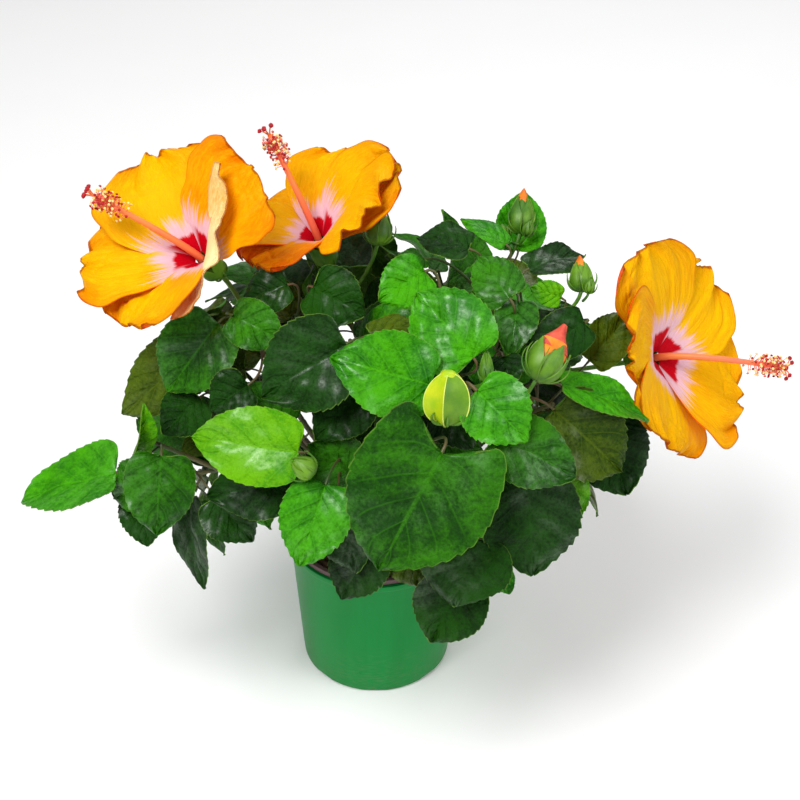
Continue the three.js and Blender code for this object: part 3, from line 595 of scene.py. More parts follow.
class BloomShape:
    """The surfaces of one open bloom, in mm."""

    PETALS = 5
    ALONG = (0.1, 0.25, 0.4, 0.55, 0.7, 0.85, 0.97)
    CLAW = 3.0
    RIM = 88.0
    WIDEST, ROUNDNESS, CLAW_WIDTH = 0.62, 0.39, 0.12
    PINWHEEL = math.radians(11)
    HOLLOW = 0.3
    CALYX_LENGTH = 24.0
    SUNK = 4.0

    def __init__(self, bloom: Bloom) -> None:
        """Work out the bloom's own directions."""
        self.bloom = bloom
        self.throat = np.array(bloom.throat, float)
        self.axis = unit(np.array(bloom.axis, float))
        self.upright = unit(np.array([0, 0, 1.0]) - self.axis * self.axis[2])
        self.aside = np.cross(self.axis, self.upright)
        self.stalk: Optional[Curve] = None

    def petal_width(self, t: Points) -> Points:
        """How wide a petal is at shares of its length, against its widest."""
        opening = mix(self.CLAW_WIDTH, 1, np.sin(math.pi / 2 * np.minimum(t / self.WIDEST, 1)))
        closing = np.sqrt(np.maximum(0, 1 - ((t - self.WIDEST) / self.ROUNDNESS) ** 2))
        return np.where(t < self.WIDEST, opening, closing)

    def petal(self, index: int, t: Points, u: Points, drawn: bool = False) -> Points:
        """Points of a petal's middle surface.

        Args:
            index: Which petal.
            t: Shares of its length from claw to rim.
            u: Places across from -1 to 1, of the same shape as t.
            drawn: Whether the petal's own lean and the bloom's lap count.

        Returns:
            The points, with one more axis for x, y and z.
        """
        petal = self.bloom.petals[index]
        extra, shift = petal.lean if drawn else (0.0, 0.0)
        shift += self.bloom.turn + petal.shift + 360 / self.PETALS * index
        radial = turned_about(self.upright, self.axis, math.radians(shift))
        tangent = np.cross(self.axis, radial)
        first = math.radians(self.bloom.flare)
        swing = math.radians(self.RIM + petal.extra + extra) - first
        opened = first + swing * t
        out = self.CLAW + petal.length * (math.cos(first) - np.cos(opened)) / swing
        up = petal.length * (np.sin(opened) - math.sin(first)) / swing
        y = u * petal.width * self.petal_width(t) / 2
        inward = -radial * np.cos(opened)[..., None] + self.axis * np.sin(opened)[..., None]
        hollow = self.HOLLOW * y * y * np.cos(opened) / (out + 10)
        lap = (self.bloom.lap if drawn else 1) * y * math.sin(self.PINWHEEL)
        return (self.throat + radial * out[..., None] + self.axis * up[..., None]
                + tangent * (y * math.cos(self.PINWHEEL))[..., None]
                + inward * (lap + hollow)[..., None])

    def samples(self) -> Points:
        """Points all over the petals and the calyx."""
        t, u = grid(self.ALONG, Leaf.ACROSS)
        petals = [self.petal(i, t, u).reshape(-1, 3) for i in range(self.PETALS)]
        calyx = self.throat - np.arange(0, self.CALYX_LENGTH + 0.1, 4)[:, None] * self.axis
        return np.concatenate([*petals, calyx])

    def column(self) -> Curve:
        """The line of the column from the throat to its end."""
        way, length = unit(np.array(self.bloom.column, float)), self.bloom.column_length
        bend = self.throat + self.axis * 0.3 * length
        return Curve(self.throat, bend, self.throat + way * length)

    def carry(self, shoot: Curve, gap: float) -> None:
        """Lay the stalk on from the tip of a shoot."""
        foot = self.throat - self.axis * self.CALYX_LENGTH
        ahead = shoot.ahead(1.0)
        start = shoot.at(1.0) + ahead * gap
        reach = float(np.linalg.norm(start - foot)) / 3
        self.stalk = Curve(start, start + ahead * reach, foot - self.axis * reach,
                           foot + self.axis * self.SUNK)


class Grown:
    """What has grown in one mass of foliage."""

    def __init__(self, mass: Mass, bough: Curve, stem: Curve) -> None:
        """Start with the bough and the stem that goes on from it.

        Args:
            mass: The mass's sizes and what was read of it.
            bough: The bough, from the trunk.
            stem: The stem, from the bough's tip.
        """
        self.mass, self.bough, self.stem = mass, bough, stem
        self.spine = stem.samples()
        self.random = Seeded(mass.seed)
        self.shoots: List[Curve] = [stem]
        self.fine: List[Curve] = []
        self.leaves: List[Leaf] = []
        self.bud_stalks: List[Curve] = []


class Taken:
    """The points where something already stands."""

    NEAR = 75

    def __init__(self) -> None:
        """Start with nothing."""
        self.all = np.zeros((0, 3))

    def add(self, points: Points) -> None:
        """Take the places of more points."""
        self.all = np.concatenate([self.all, points])

    def clear(self, points: Points, middle: Points, distance: float) -> bool:
        """Whether points keep a distance from all that stands near a middle point.

        Args:
            points: The points to try.
            middle: The middle of what they cover.
            distance: The distance in mm.

        Returns:
            True where nothing stands nearer.
        """
        near = self.all[((self.all - middle) ** 2).sum(1) < self.NEAR ** 2]
        if not len(near) or not len(points):
            return True
        apart = ((points[:, None, :] - near[None, :, :]) ** 2).sum(2)
        return bool(apart.min() > distance * distance)


@dataclass(frozen=True)
class LeafRule:
    """How free leaves grow: ranges are the least and how much more, distances to what stands.

    Width, arch, way, heading and facing are shares, fold is in degrees. Way is how far a stalk
    turns ahead and up, heading how far a blade turns outwards, facing how far its face turns up.
    """

    petiole: Tuple[float, float] = (20, 16)
    length: Tuple[float, float] = (52, 30)
    spacing: float = 11
    from_blade: float = 5.5
    from_limb: float = 5
    stalk_from_blade: float = 4.5
    stalk_from_limb: float = 4.5
    skip: int = 3
    droop: float = 0.42
    width: Tuple[float, float] = (0.68, 0.1)
    arch: Tuple[float, float] = (0.05, 0.06)
    fold: Tuple[float, float] = (6, 14)
    way: Tuple[float, float] = (0.55, 0.25)
    heading: float = 0.8
    facing: float = 0.7


class Growth:
    """The shrub's growth: limbs, what shows most, twigs, and then leaves wherever they fit."""

    GAP = 0.3
    SOIL_TOP = 108.0
    TRUNK_HEIGHT = 64.0
    LOWEST = 40.0
    CROWN = np.array([8.0, 6.0, 226.0])
    SEMI = np.array([186.0, 166.0, 154.0])
    FRONT_SHARE = 0.86
    VIEWER = np.array([0, -0.81, 0.59])
    LARGE = LeafRule()
    SMALL = LeafRule((10, 14), (30, 26), 7, 3.6, 3.0, 2.6, 2.2, 2, 0.5)
    FINE_TWIGS = 3
    FINE_LEAVES = 13
    TRIES = 4
    BOUGH_SAG, STEM_REACH = 0.35, 0.4
    TWIG_LEAN, TWIG_SAG = math.radians(55), 3.0
    POT_RADIUS, POT_TOP = 74, 133
    STALK_BACK = 15
    # How far inside the crown a free leaf takes the dark tone, as painted shade.
    SHADED = 0.7
    USUAL_TONES = (MID, BRIGHT, OLIVE, MID)

    def __init__(self, camera: Camera) -> None:
        """Grow it all, in the order in which the solids grew."""
        self.camera = camera
        self.blades, self.wood = Taken(), Taken()
        ground = (0, 0, self.SOIL_TOP + self.GAP)
        self.trunk = Curve(ground, (0, 0, self.SOIL_TOP + 0.5 * self.TRUNK_HEIGHT),
                           (3, -2, self.SOIL_TOP + self.GAP + self.TRUNK_HEIGHT))
        self.wood.add(self.trunk.samples())
        self.masses = [self._start(mass) for mass in MASSES]
        self.blooms = [BloomShape(bloom) for bloom in BLOOMS]
        for bloom in self.blooms:
            bearer = next(g for g in self.masses if g.mass.name == bloom.bloom.shoot)
            bloom.carry(bearer.stem, self.GAP)
            self.blades.add(bloom.samples())
            self.wood.add(bloom.stalk.samples())
        for grown in self.masses:
            self._branch(grown)
        for grown in self.masses:
            self._carry(grown)
        for grown in self.masses:
            mass = grown.mass
            self._fill(grown, grown.shoots, self.LARGE, mass.fill, mass.seed, grown.random)
        for grown in self.masses:
            self._refine(grown)

    def _start(self, mass: Mass) -> Grown:
        """Lay a mass's bough, stem and showing leaves."""
        root = self.trunk.at(mass.height / self.TRUNK_HEIGHT)
        tip = np.array(mass.start, float)
        elbow = (root + tip) / 2
        elbow[2] = root[2] + self.BOUGH_SAG * (tip[2] - root[2])
        bough = Curve(root, elbow, tip)
        ahead = bough.ahead(1.0)
        start, end = tip + ahead * self.GAP, np.array(mass.end, float)
        reach = float(np.linalg.norm(end - start))
        stem = Curve(start, start + ahead * self.STEM_REACH * reach, end)
        grown = Grown(mass, bough, stem)
        self.wood.add(bough.samples())
        self.wood.add(grown.spine)
        for row in mass.showing:
            leaf = Leaf(row.base, row.tip, row.width, row.facing.value, lobe=row.lobe)
            leaf.tone, leaf.shows = row.tone, True
            grown.leaves.append(leaf)
            self.blades.add(leaf.samples())
        for bud in mass.buds:
            base, tip = bud.ends
            self.blades.add(np.stack([base, (base + tip) / 2, tip]))
        return grown

    def _twig(self, shoot: Curve, share: float, angle: float, length: float) -> Curve:
        """A side twig of a shoot, at a share of its length and an angle round it.

        Args:
            shoot: The shoot that bears it.
            share: Where on the shoot, as a share of its length.
            angle: The angle round the shoot in radians.
            length: Its length in mm.

        Returns:
            The twig's line.
        """
        root, ahead = shoot.at(share), shoot.ahead(share)
        way = ahead * math.cos(self.TWIG_LEAN) + sideways(ahead, angle) * math.sin(self.TWIG_LEAN)
        elbow = root + way * 0.5 * length - np.array([0, 0, self.TWIG_SAG])
        return Curve(root, elbow, root + way * length)

    def _runs_clear(self, curve: Curve, rule: LeafRule) -> bool:
        """Whether a stalk or twig that starts on its own shoot runs clear of all else."""
        points, middle = curve.samples()[rule.skip:], curve.at(0.5)
        return (self.blades.clear(points, middle, rule.stalk_from_blade)
                and self.wood.clear(points, middle, rule.stalk_from_limb))

    def _branch(self, grown: Grown) -> None:
        """Add a mass's side twigs by the golden angle."""
        mass = grown.mass
        for i in range(mass.twigs):
            length = mass.reach * mix(0.4, 0.65, grown.random())
            share = mix(0.25, 0.85, (i + 0.5) / mass.twigs)
            twig = self._twig(grown.stem, share, i * GOLDEN + mass.seed, length)
            if self._runs_clear(twig, self.LARGE):
                grown.shoots.append(twig)
                self.wood.add(twig.samples()[1:])

    @staticmethod
    def _carrier(grown: Grown, at: Points) -> Points:
        """The nearest place on a mass's shoots."""
        places = np.concatenate([shoot.spaced(11)[1:-1] for shoot in grown.shoots])
        return places[((places - at) ** 2).sum(1).argmin()]

    def _carry(self, grown: Grown) -> None:
        """Hang the showing leaves and the buds on the mass's shoots."""
        for leaf in grown.leaves:
            leaf.root = self._carrier(grown, leaf.base - leaf.along * self.STALK_BACK)
            self.wood.add(leaf.stalk().samples()[2:])
        for bud in grown.mass.buds:
            base, tip = bud.ends
            line = tip - base
            stalk = Curve(self._carrier(grown, base), base - line * 0.5, base + line * 0.2)
            grown.bud_stalks.append(stalk)
            self.wood.add(stalk.samples()[2:])

    def _leaf(self, shoot: Curve, share: float, angle: float, rule: LeafRule, random: Seeded) -> Leaf:
        """A free-growing leaf of a shoot, at a share of its length and an angle round it.

        Args:
            shoot: The shoot that bears it.
            share: Where on the shoot, as a share of its length.
            angle: The angle round the shoot in radians.
            rule: How it grows.
            random: The seeded numbers to draw.

        Returns:
            The leaf, not yet tried against what stands.
        """
        root, ahead = shoot.at(share), shoot.ahead(share)
        side = sideways(ahead, angle)
        way = unit(side + ahead * rule.way[0] + np.array([0, 0, rule.way[1]]))
        petiole, length = random.above(*rule.petiole), random.above(*rule.length)
        width = length * random.above(*rule.width)
        base = root + way * petiole
        outward = unit(base - self.CROWN)
        heading = unit(side + outward * rule.heading - np.array([0, 0, rule.droop]))
        facing = unit(outward + np.array([0, 0, rule.facing]))
        arch, fold = random.above(*rule.arch), random.above(*rule.fold)
        leaf = Leaf(base, base + heading * length, width, facing, arch, fold)
        leaf.root = root
        return leaf

    def crown_share(self, points: Points) -> Points:
        """How far out of the crown points are: 1 on its surface."""
        away = points - self.CROWN
        towards = unit(away) @ self.VIEWER
        share = mix(1, self.FRONT_SHARE, np.clip(towards * 2, 0, 1))
        return np.linalg.norm(away / self.SEMI, axis=1) / share

    def _fits(self, leaf: Leaf, grown: Grown, rule: LeafRule) -> bool:
        """Whether a leaf stands inside the crown and clear of all else.

        Args:
            leaf: The leaf to try.
            grown: The mass that it belongs to.
            rule: How far it has to keep away.

        Returns:
            True where there is room for it.
        """
        points = leaf.samples()
        if (self.crown_share(points) >= 1).any() or (points[:, 2] <= self.LOWEST).any():
            return False
        away = np.hypot(points[:, 0], points[:, 1])
        if ((away <= self.POT_RADIUS) & (points[:, 2] <= self.POT_TOP)).any():
            return False
        middle = leaf.blade(np.array([0.5]), np.array([0.0]))[0]
        if ((grown.spine - middle) ** 2).sum(1).min() >= grown.mass.reach ** 2:
            return False
        if rule is self.SMALL and self._hides_sky(points):
            return False
        return (self.blades.clear(points, middle, rule.from_blade)
                and self.wood.clear(points, middle, rule.from_limb)
                and self._runs_clear(leaf.stalk(), rule))

    def _hides_sky(self, points: Points) -> bool:
        """Whether points fall in one of the crown's openings."""
        x, y = self.camera.seen(points).T
        return any(((x > left) & (x < right) & (y > top) & (y < bottom)).any()
                   for left, top, right, bottom in SKY)

    def _fill(self, grown: Grown, shoots: Sequence[Curve], rule: LeafRule, left: int,
              angle: float, random: Seeded) -> None:
        """Add leaves up each shoot by the golden angle, skipped where one would not fit.

        Args:
            grown: The mass.
            shoots: The shoots that bear the leaves.
            rule: How they grow.
            left: The most leaves to add.
            angle: The angle to start from.
            random: The seeded numbers to draw.
        """
        for shoot in shoots:
            places = max(1, math.floor(shoot.length / rule.spacing))
            for i in range(places + 1):
                if left <= 0:
                    return
                for _ in range(self.TRIES):
                    angle += GOLDEN
                    leaf = self._leaf(shoot, mix(0.15, 0.97, i / places), angle, rule, random)
                    if not self._fits(leaf, grown, rule):
                        continue
                    leaf.grade = 1 if rule is self.LARGE else 2
                    leaf.tone = self._tone(leaf, grown.mass, rule, random)
                    grown.leaves.append(leaf)
                    self.blades.add(leaf.samples())
                    self.wood.add(leaf.stalk().samples()[2:])
                    left -= 1
                    break

    def _tone(self, leaf: Leaf, mass: Mass, rule: LeafRule, random: Seeded) -> Tone:
        """The tone of a free leaf: the dark tone inside the crown as painted shade, and near the mass's
        own tone outside.

        Args:
            leaf: The leaf.
            mass: Its mass.
            rule: How it grew.
            random: The seeded numbers to draw.

        Returns:
            The tone.
        """
        # Painted shade: a leaf deep inside the crown takes the dark tone.
        if self.crown_share(leaf.samples()).max() < self.SHADED:
            return DARK
        tones = (mass.tone, *self.USUAL_TONES)
        return mass.tone if rule is self.LARGE else tones[int(random() * len(tones))]

    def _refine(self, grown: Grown) -> None:
        """Carry a mass on to finer twigs and smaller leaves inside its own reach."""
        random = Seeded(grown.mass.seed + 100)
        angle = grown.mass.seed + 0.5
        for shoot in grown.shoots:
            for i in range(self.FINE_TWIGS):
                angle += GOLDEN
                length = grown.mass.reach * random.between(0.22, 0.38)
                share = mix(0.2, 0.95, (i + 0.5) / self.FINE_TWIGS)
                twig = self._twig(shoot, share, angle, length)
                points = twig.samples()
                inside = (self.crown_share(points) < 0.95).all()
                if inside and not self._hides_sky(points) and self._runs_clear(twig, self.SMALL):
                    grown.fine.append(twig)
                    self.wood.add(twig.samples()[1:])
        shoots = [*grown.fine, *grown.shoots]
        self._fill(grown, shoots, self.SMALL, self.FINE_LEAVES, grown.mass.seed + 0.9, random)


Number = Union[float, "Value"]


class Value:
    """A number or colour on its way through a material: arithmetic on it adds Math nodes."""

    def __init__(self, paint: "Paint", socket: bpy.types.NodeSocket) -> None:
        """Keep the paint that the socket belongs to, and the socket."""
        self.paint, self.socket = paint, socket

    def math(self, operation: str, *others: Number) -> "Value":
        """The result of one Math node on this value and others."""
        inputs = dict(enumerate((self, *others)))
        return self.paint.value("ShaderNodeMath", {"operation": operation}, inputs)

    def __add__(self, other: Number) -> "Value":
        """Add."""
        return self.math("ADD", other)

    def __sub__(self, other: Number) -> "Value":
        """Subtract."""
        return self.math("SUBTRACT", other)

    def __rsub__(self, other: float) -> "Value":
        """Subtract this from a number."""
        return self.paint.value("ShaderNodeMath", {"operation": "SUBTRACT"}, {0: other, 1: self})

    def __mul__(self, other: Number) -> "Value":
        """Multiply."""
        return self.math("MULTIPLY", other)

    def __pow__(self, other: Number) -> "Value":
        """Raise to a power."""
        return self.math("POWER", other)

    def __abs__(self) -> "Value":
        """Drop the sign."""
        return self.math("ABSOLUTE")

    def near_whole(self) -> "Value":
        """How far it is from the nearest whole number."""
        return self.math("PINGPONG", 0.5)

    def smooth(self, low: float, high: float) -> "Value":
        """Rise softly from 0 at low to 1 at high, or fall where high is the lower one."""
        return self.paint.value("ShaderNodeMapRange", {"interpolation_type": "SMOOTHSTEP"},
                                {"Value": self, "From Min": low, "From Max": high})


class Paint:
    """A material in the making."""

    def __init__(self, name: str) -> None:
        """Start with an empty node tree."""
        self.material = bpy.data.materials.new(name)
        self.material.use_nodes = True
        self.tree = self.material.node_tree
        self.tree.nodes.clear()

    def node(self, kind: str, settings: Optional[Dict] = None,
             inputs: Optional[Dict] = None) -> bpy.types.Node:
        """Add one node.

        Args:
            kind: The node's type.
            settings: Its settings, which are set first.
            inputs: Values or links of its sockets, by name or number.

        Returns:
            The node.
        """
        made = self.tree.nodes.new(kind)
        for key, setting in (settings or {}).items():
            setattr(made, key, setting)
        for key, given in (inputs or {}).items():
            if isinstance(given, Value):
                self.tree.links.new(given.socket, made.inputs[key])
            else:
                made.inputs[key].default_value = given
        return made

    def value(self, kind: str, settings: Optional[Dict] = None, inputs: Optional[Dict] = None,
              output: Union[int, str] = 0) -> Value:
        """Add one node and take one of its outputs."""
        return Value(self, self.node(kind, settings, inputs).outputs[output])

    def mixed(self, share: Number, first: Union[Value, Colour], second: Union[Value, Colour]) -> Value:
        """Go from one colour to another by a share."""
        inputs = {0: share, 6: first, 7: second}
        return self.value("ShaderNodeMix", {"data_type": "RGBA"}, inputs, 2)

    def across_along(self) -> Tuple[Value, Value]:
        """The place on the piece's own map: across and along."""
        place = self.value("ShaderNodeUVMap", {"uv_map": "UVMap"})
        parts = self.node("ShaderNodeSeparateXYZ", None, {0: place})
        return Value(self, parts.outputs[0]), Value(self, parts.outputs[1])

    def place(self, stretch: Triple = (1, 1, 1)) -> Value:
        """The place on the object, stretched along its axes."""
        raw = self.value("ShaderNodeTexCoord", None, None, "Object")
        return self.value("ShaderNodeMapping", None, {"Vector": raw, "Scale": stretch})

    def joined(self, x: Number, y: Number) -> Value:
        """A flat vector from two numbers."""
        return self.value("ShaderNodeCombineXYZ", None, {0: x, 1: y})

    def noise(self, scale: float, detail: float = 3, roughness: float = 0.5,
              vector: Optional[Value] = None) -> Value:
        """Soft noise from 0 to 1, by the place on the object unless another vector is given.

        Args:
            scale: How fine it is, per metre.
            detail: How many finer layers it has.
            roughness: How strong the finer layers are.
            vector: What is read in place of the place on the object.

        Returns:
            The noise.
        """
        inputs = {"Vector": vector or self.place(), "Scale": scale, "Detail": detail,
                  "Roughness": roughness}
        return self.value("ShaderNodeTexNoise", None, inputs)

    def cells(self, scale: float, stretch: Triple = (1, 1, 1)) -> Value:
        """The distance to the nearest of many strewn points."""
        inputs = {"Vector": self.place(stretch), "Scale": scale}
        return self.value("ShaderNodeTexVoronoi", None, inputs)

    def tint(self) -> Value:
        """The number that the mesh carries at each point."""
        return self.value("ShaderNodeAttribute", {"attribute_name": "tint"}, None, "Fac")

    def bump(self, height: Value, distance: float, strength: float = 1.0) -> Value:
        """A normal bent by a height."""
        inputs = {"Height": height, "Distance": distance, "Strength": strength}
        return self.value("ShaderNodeBump", None, inputs)

    def done(self, **sockets: Union[Number, Colour]) -> bpy.types.Material:
        """Close the material with a principled shader, its sockets with underlines for spaces."""
        named = {key.replace("_", " "): given for key, given in sockets.items()}
        shader = self.value("ShaderNodeBsdfPrincipled", None, named)
        self.node("ShaderNodeOutputMaterial", None, {0: shader})
        return self.material


@dataclass(frozen=True)
class Finish:
    """What all finishes share: a name, and a material that is painted once."""

    name: str
    made: ClassVar[Dict[str, bpy.types.Material]] = {}

    def paint(self, p: Paint) -> bpy.types.Material:
        """Paint the material with an empty paint."""
        raise NotImplementedError

    def material(self) -> bpy.types.Material:
        """The material, painted when it is first asked for."""
        if self.name not in self.made:
            self.made[self.name] = self.paint(Paint(self.name))
        return self.made[self.name]


@dataclass(frozen=True)
class LeafFinish(Finish):
    """The upper face of a leaf of one tone."""

    body: Colour
    light: Colour
    roughness: float = 0.38
    gloss: float = 0.6
    pale: Colour = ink(124, 160, 60)
    veins: float = 5.0

    def paint(self, p: Paint) -> bpy.types.Material:
        """Mottled green with painted sheen in fine specks and between the veins, paler veins, a thin pale
        margin and a patchy gloss.
        """
        across, along = p.across_along()
        side = abs(across * 2 - 1)
        vein = (along * self.veins - side ** 0.85 * 1.9).near_whole()
        lateral = vein.smooth(0.06, 0.0) * side.smooth(0.96, 0.7)
        midrib = side.smooth(0.045, 0.012)
        cloud, mottle = p.noise(26, 2), p.noise(75, 4, 0.62)
        pucker, grain = p.noise(190, 3, 0.65), p.noise(430, 3, 0.6)
        quilt = vein.smooth(0.0, 0.45)
        # Lighter where the pucker and grain bumps stand up and between the veins: painted sheen, mixed
        # with the leaf's own random mottling from the cloud, mottle and tint.
        tone = mottle * 0.2 + cloud * 0.4 + pucker * 0.1 + grain * 0.25 + quilt * 0.05
        base = p.mixed(tone.smooth(0.39, 0.61) * 0.72 + p.tint() * 0.28, self.body, self.light)
        base = p.mixed(lateral * 0.35 + midrib * 0.5, base, self.light)
        base = p.mixed(side.smooth(0.98, 0.995) * 0.35, base, self.pale)
        height = vein.smooth(0.0, 0.2) * 0.22 + mottle * 0.7 + pucker * 0.8 + grain * 0.5
        sheen = p.noise(17, 2).smooth(0.42, 0.62) * (quilt * 0.55 + 0.45)
        sheen = sheen * (grain.smooth(0.35, 0.6) * 0.8 + 0.45)
        rough = cloud * 0.3 + mottle * 0.2 + (self.roughness - 0.15)
        return p.done(Base_Color=base, Roughness=rough, Normal=p.bump(height, 0.0026, 0.9),
                      Coat_Weight=sheen * self.gloss, Coat_Roughness=0.28, Specular_IOR_Level=0.1)


@dataclass(frozen=True)
class PlainFinish(Finish):
    """A finish of one colour that drifts to another in soft patches."""

    body: Colour
    other: Colour
    roughness: float = 0.5
    scale: float = 60.0
    relief: float = 0.0002
    stretch: Triple = (1, 1, 1)

    def paint(self, p: Paint) -> bpy.types.Material:
        """Soft patches with a fine relief."""
        patch = p.noise(self.scale, 4, 0.6, p.place(self.stretch))
        grain = p.noise(self.scale * 9, 3, 0.6, p.place(self.stretch))
        base = p.mixed(patch.smooth(0.3, 0.7), self.body, self.other)
        return p.done(Base_Color=base, Roughness=grain * 0.2 + (self.roughness - 0.1),
                      Normal=p.bump(patch * 0.5 + grain * 0.5, self.relief))


@dataclass(frozen=True)
class PetalFinish(Finish):
    """One face of a petal: red at the claw, a pale star, the body, and a thin burnt rim."""

    body: Colour
    deep: Colour
    star: float = 1.0
    red: Colour = ink(196, 0, 24)
    pale: Colour = ink(232, 186, 202)
    rim: Colour = ink(150, 66, 0)

    def paint(self, p: Paint) -> bpy.types.Material:
        """A red blotch at the claw, a pale star of streaks round it, deeper orange on the crinkles as
        painted crease shade and toward the rim as its own tone, wrinkles and a burnt rim.
        """
        across, along = p.across_along()
        side = abs(across * 2 - 1)
        streak = p.noise(1.0, 3, 0.6, p.joined(across * 30, along * 1.4))
        wide = p.noise(1.0, 2, 0.5, p.joined(across * 6, along * 2.4))
        crinkle = p.noise(1.0, 4, 0.65, p.joined(across * 46, along * 9))
        cloud = p.noise(30)
        # Deeper orange on the crinkles is painted crease shade; toward the outer corners and in random
        # patches it is the petal's own tone.
        shade = cloud * 0.5 + crinkle * 0.45 + side * along * 0.25 + p.tint() * 0.12
        base = p.mixed(shade.smooth(0.5, 0.9), self.body, self.deep)
        star = 1 - (along + side * 0.08 - (streak - 0.5) * 0.55).smooth(0.24, 0.38)
        base = p.mixed(star * (0.96 * self.star), base, self.pale)
        blotch = 1 - (along - (streak - 0.5) * 0.06 - (wide - 0.5) * 0.08).smooth(0.14, 0.175)
        inside = 1 - (side - (wide - 0.5) * 0.3).smooth(0.5, 0.7)
        base = p.mixed(blotch * inside * self.star, base, self.red)
        edge = (along - (crinkle - 0.5) * 0.05).smooth(0.972, 0.99)
        flank = (side - (crinkle - 0.5) * 0.06).smooth(0.965, 0.995) * along.smooth(0.25, 0.6)
        wrinkle = abs(crinkle - 0.5).smooth(0.022, 0.0) * along.smooth(0.45, 0.95)
        base = p.mixed(edge * 0.7 + flank * 0.5 + wrinkle * 0.4, base, self.rim)
        return p.done(Base_Color=base, Roughness=cloud * 0.15 + 0.46,
                      Normal=p.bump(crinkle * 0.8 + streak * 0.5, 0.0014, 0.85),
                      Subsurface_Weight=0.1, Subsurface_Scale=0.004, Specular_IOR_Level=0.05)


@dataclass(frozen=True)
class BarkFinish(Finish):
    """Thin grey-brown bark with long cracks and pale dots."""

    dark: Colour = ink(58, 46, 36)
    light: Colour = ink(134, 116, 92)
    moss: Colour = ink(96, 100, 62)
    pore: Colour = ink(170, 155, 130)

    def paint(self, p: Paint) -> bpy.types.Material:
        """Long patches round the wood, cracks and pores."""
        around_it, along = p.across_along()
        long = p.noise(1.0, 5, 0.65, p.joined(around_it * 22, along * 5))
        patch = p.noise(90, 4)
        base = p.mixed(long.smooth(0.32, 0.68), self.dark, self.light)
        base = p.mixed(patch.smooth(0.5, 0.75) * 0.5, base, self.moss)
        base = p.mixed(p.cells(260, (1, 1, 1.8)).smooth(0.16, 0.05) * 0.5, base, self.pore)
        return p.done(Base_Color=base, Roughness=long * 0.2 + 0.68,
                      Normal=p.bump(long * 0.8 + patch * 0.4, 0.0012))


@dataclass(frozen=True)
class PlasticFinish(Finish):
    """Moulded plastic with a soft sheen, dulled and dusty near its foot."""

    body: Colour
    edge: Colour
    roughness: float
    height: float
    dust: Colour = ink(120, 126, 104)

    def paint(self, p: Paint) -> bpy.types.Material:
        """Fine mould grain, faint upright flow marks, a lighter band under the rim that is partly wear
        and partly painted highlight, small scuffs and dust low down.
        """
        raised = p.value("ShaderNodeSeparateXYZ", None, {0: p.place()}, 2) * (1 / self.height)
        flow = p.noise(1.0, 4, 0.6, p.place((60, 60, 5)))
        scuff = p.noise(140, 5, 0.7, p.place((1, 1, 6)))
        grain = p.noise(1500, 2)
        dust = (1 - raised.smooth(0.0, 0.5)) * scuff.smooth(0.4, 0.75)
        base = p.mixed(flow.smooth(0.3, 0.7) * 0.3, self.body, self.edge)
        # A lighter band just under the rim: partly edge wear, partly painted highlight along the top.
        base = p.mixed(raised.smooth(0.93, 0.985) * 0.2, base, self.edge)
        base = p.mixed(dust * 0.35, base, self.dust)
        rough = flow * 0.08 + scuff * 0.12 + dust * 0.25 + (self.roughness - 0.1)
        return p.done(Base_Color=base, Roughness=rough, Specular_IOR_Level=0.16,
                      Normal=p.bump(grain * 0.3 + flow * 0.7, 0.00025))


@dataclass(frozen=True)
class CompostFinish(Finish):
    """Moist dark compost, or the bark chips on it."""

    dark: Colour
    light: Colour

    def paint(self, p: Paint) -> bpy.types.Material:
        """Crumbs of changing brown."""
        crumb = p.noise(170, 6, 0.7)
        base = p.mixed(crumb.smooth(0.3, 0.72) * 0.8 + p.tint() * 0.2, self.dark, self.light)
        return p.done(Base_Color=base, Roughness=crumb * 0.15 + 0.78,
                      Normal=p.bump(crumb + p.cells(330) * 0.5, 0.002))


# In the order of the tones
LEAF_FINISHES = (
    LeafFinish("leaf_bright", ink(10, 92, 0), ink(72, 166, 0)),
    LeafFinish("leaf_lime", ink(34, 122, 0), ink(104, 172, 0)),
    LeafFinish("leaf_mid", ink(6, 50, 0), ink(52, 124, 4)),
    LeafFinish("leaf_dark", ink(2, 26, 0), ink(24, 72, 2), 0.4, 0.5),
    LeafFinish("leaf_olive", ink(28, 54, 0), ink(82, 104, 8)),
    LeafFinish("leaf_under", ink(44, 92, 16), ink(92, 132, 40), 0.55, 0.15),
)
PETAL_FINISHES = (
    PetalFinish("petal_gold", ink(240, 178, 0), ink(228, 144, 0)),
    PetalFinish("petal_orange", ink(240, 160, 0), ink(230, 110, 0)),
    PetalFinish("petal_cream", ink(255, 240, 176), ink(230, 164, 44), 0.1),
    # The undersides' own orange, raised to full brightness as painted glow of light shining through the
    # petal.
    PetalFinish("petal_under_painted_glow", ink(255, 124, 2), ink(255, 82, 8), 0.3),
)
BARK = BarkFinish("bark")
GREEN_WOOD = PlainFinish("green_wood", ink(70, 84, 40), ink(112, 100, 62), 0.6, 70, 0.0004, (1, 1, 0.3))
PETIOLE = PlainFinish("petiole", ink(52, 84, 20), ink(96, 72, 46), 0.5, 26)
CALYX = PlainFinish("calyx", ink(54, 110, 12), ink(104, 150, 30), 0.5, 45)
STYLE_SLOT, FILAMENT_SLOT, ANTHER_SLOT, STIGMA_SLOT = range(4)
COLUMN_FINISHES = (
    PlainFinish("column", ink(236, 128, 52), ink(240, 112, 84), 0.45, 30),
    PlainFinish("filament", ink(232, 84, 84), ink(240, 140, 104), 0.5, 90),
    PlainFinish("anther", ink(246, 196, 90), ink(250, 226, 160), 0.8, 400, 0.0004),
    PlainFinish("stigma", ink(150, 6, 22), ink(196, 24, 36), 0.85, 500, 0.0005),
)
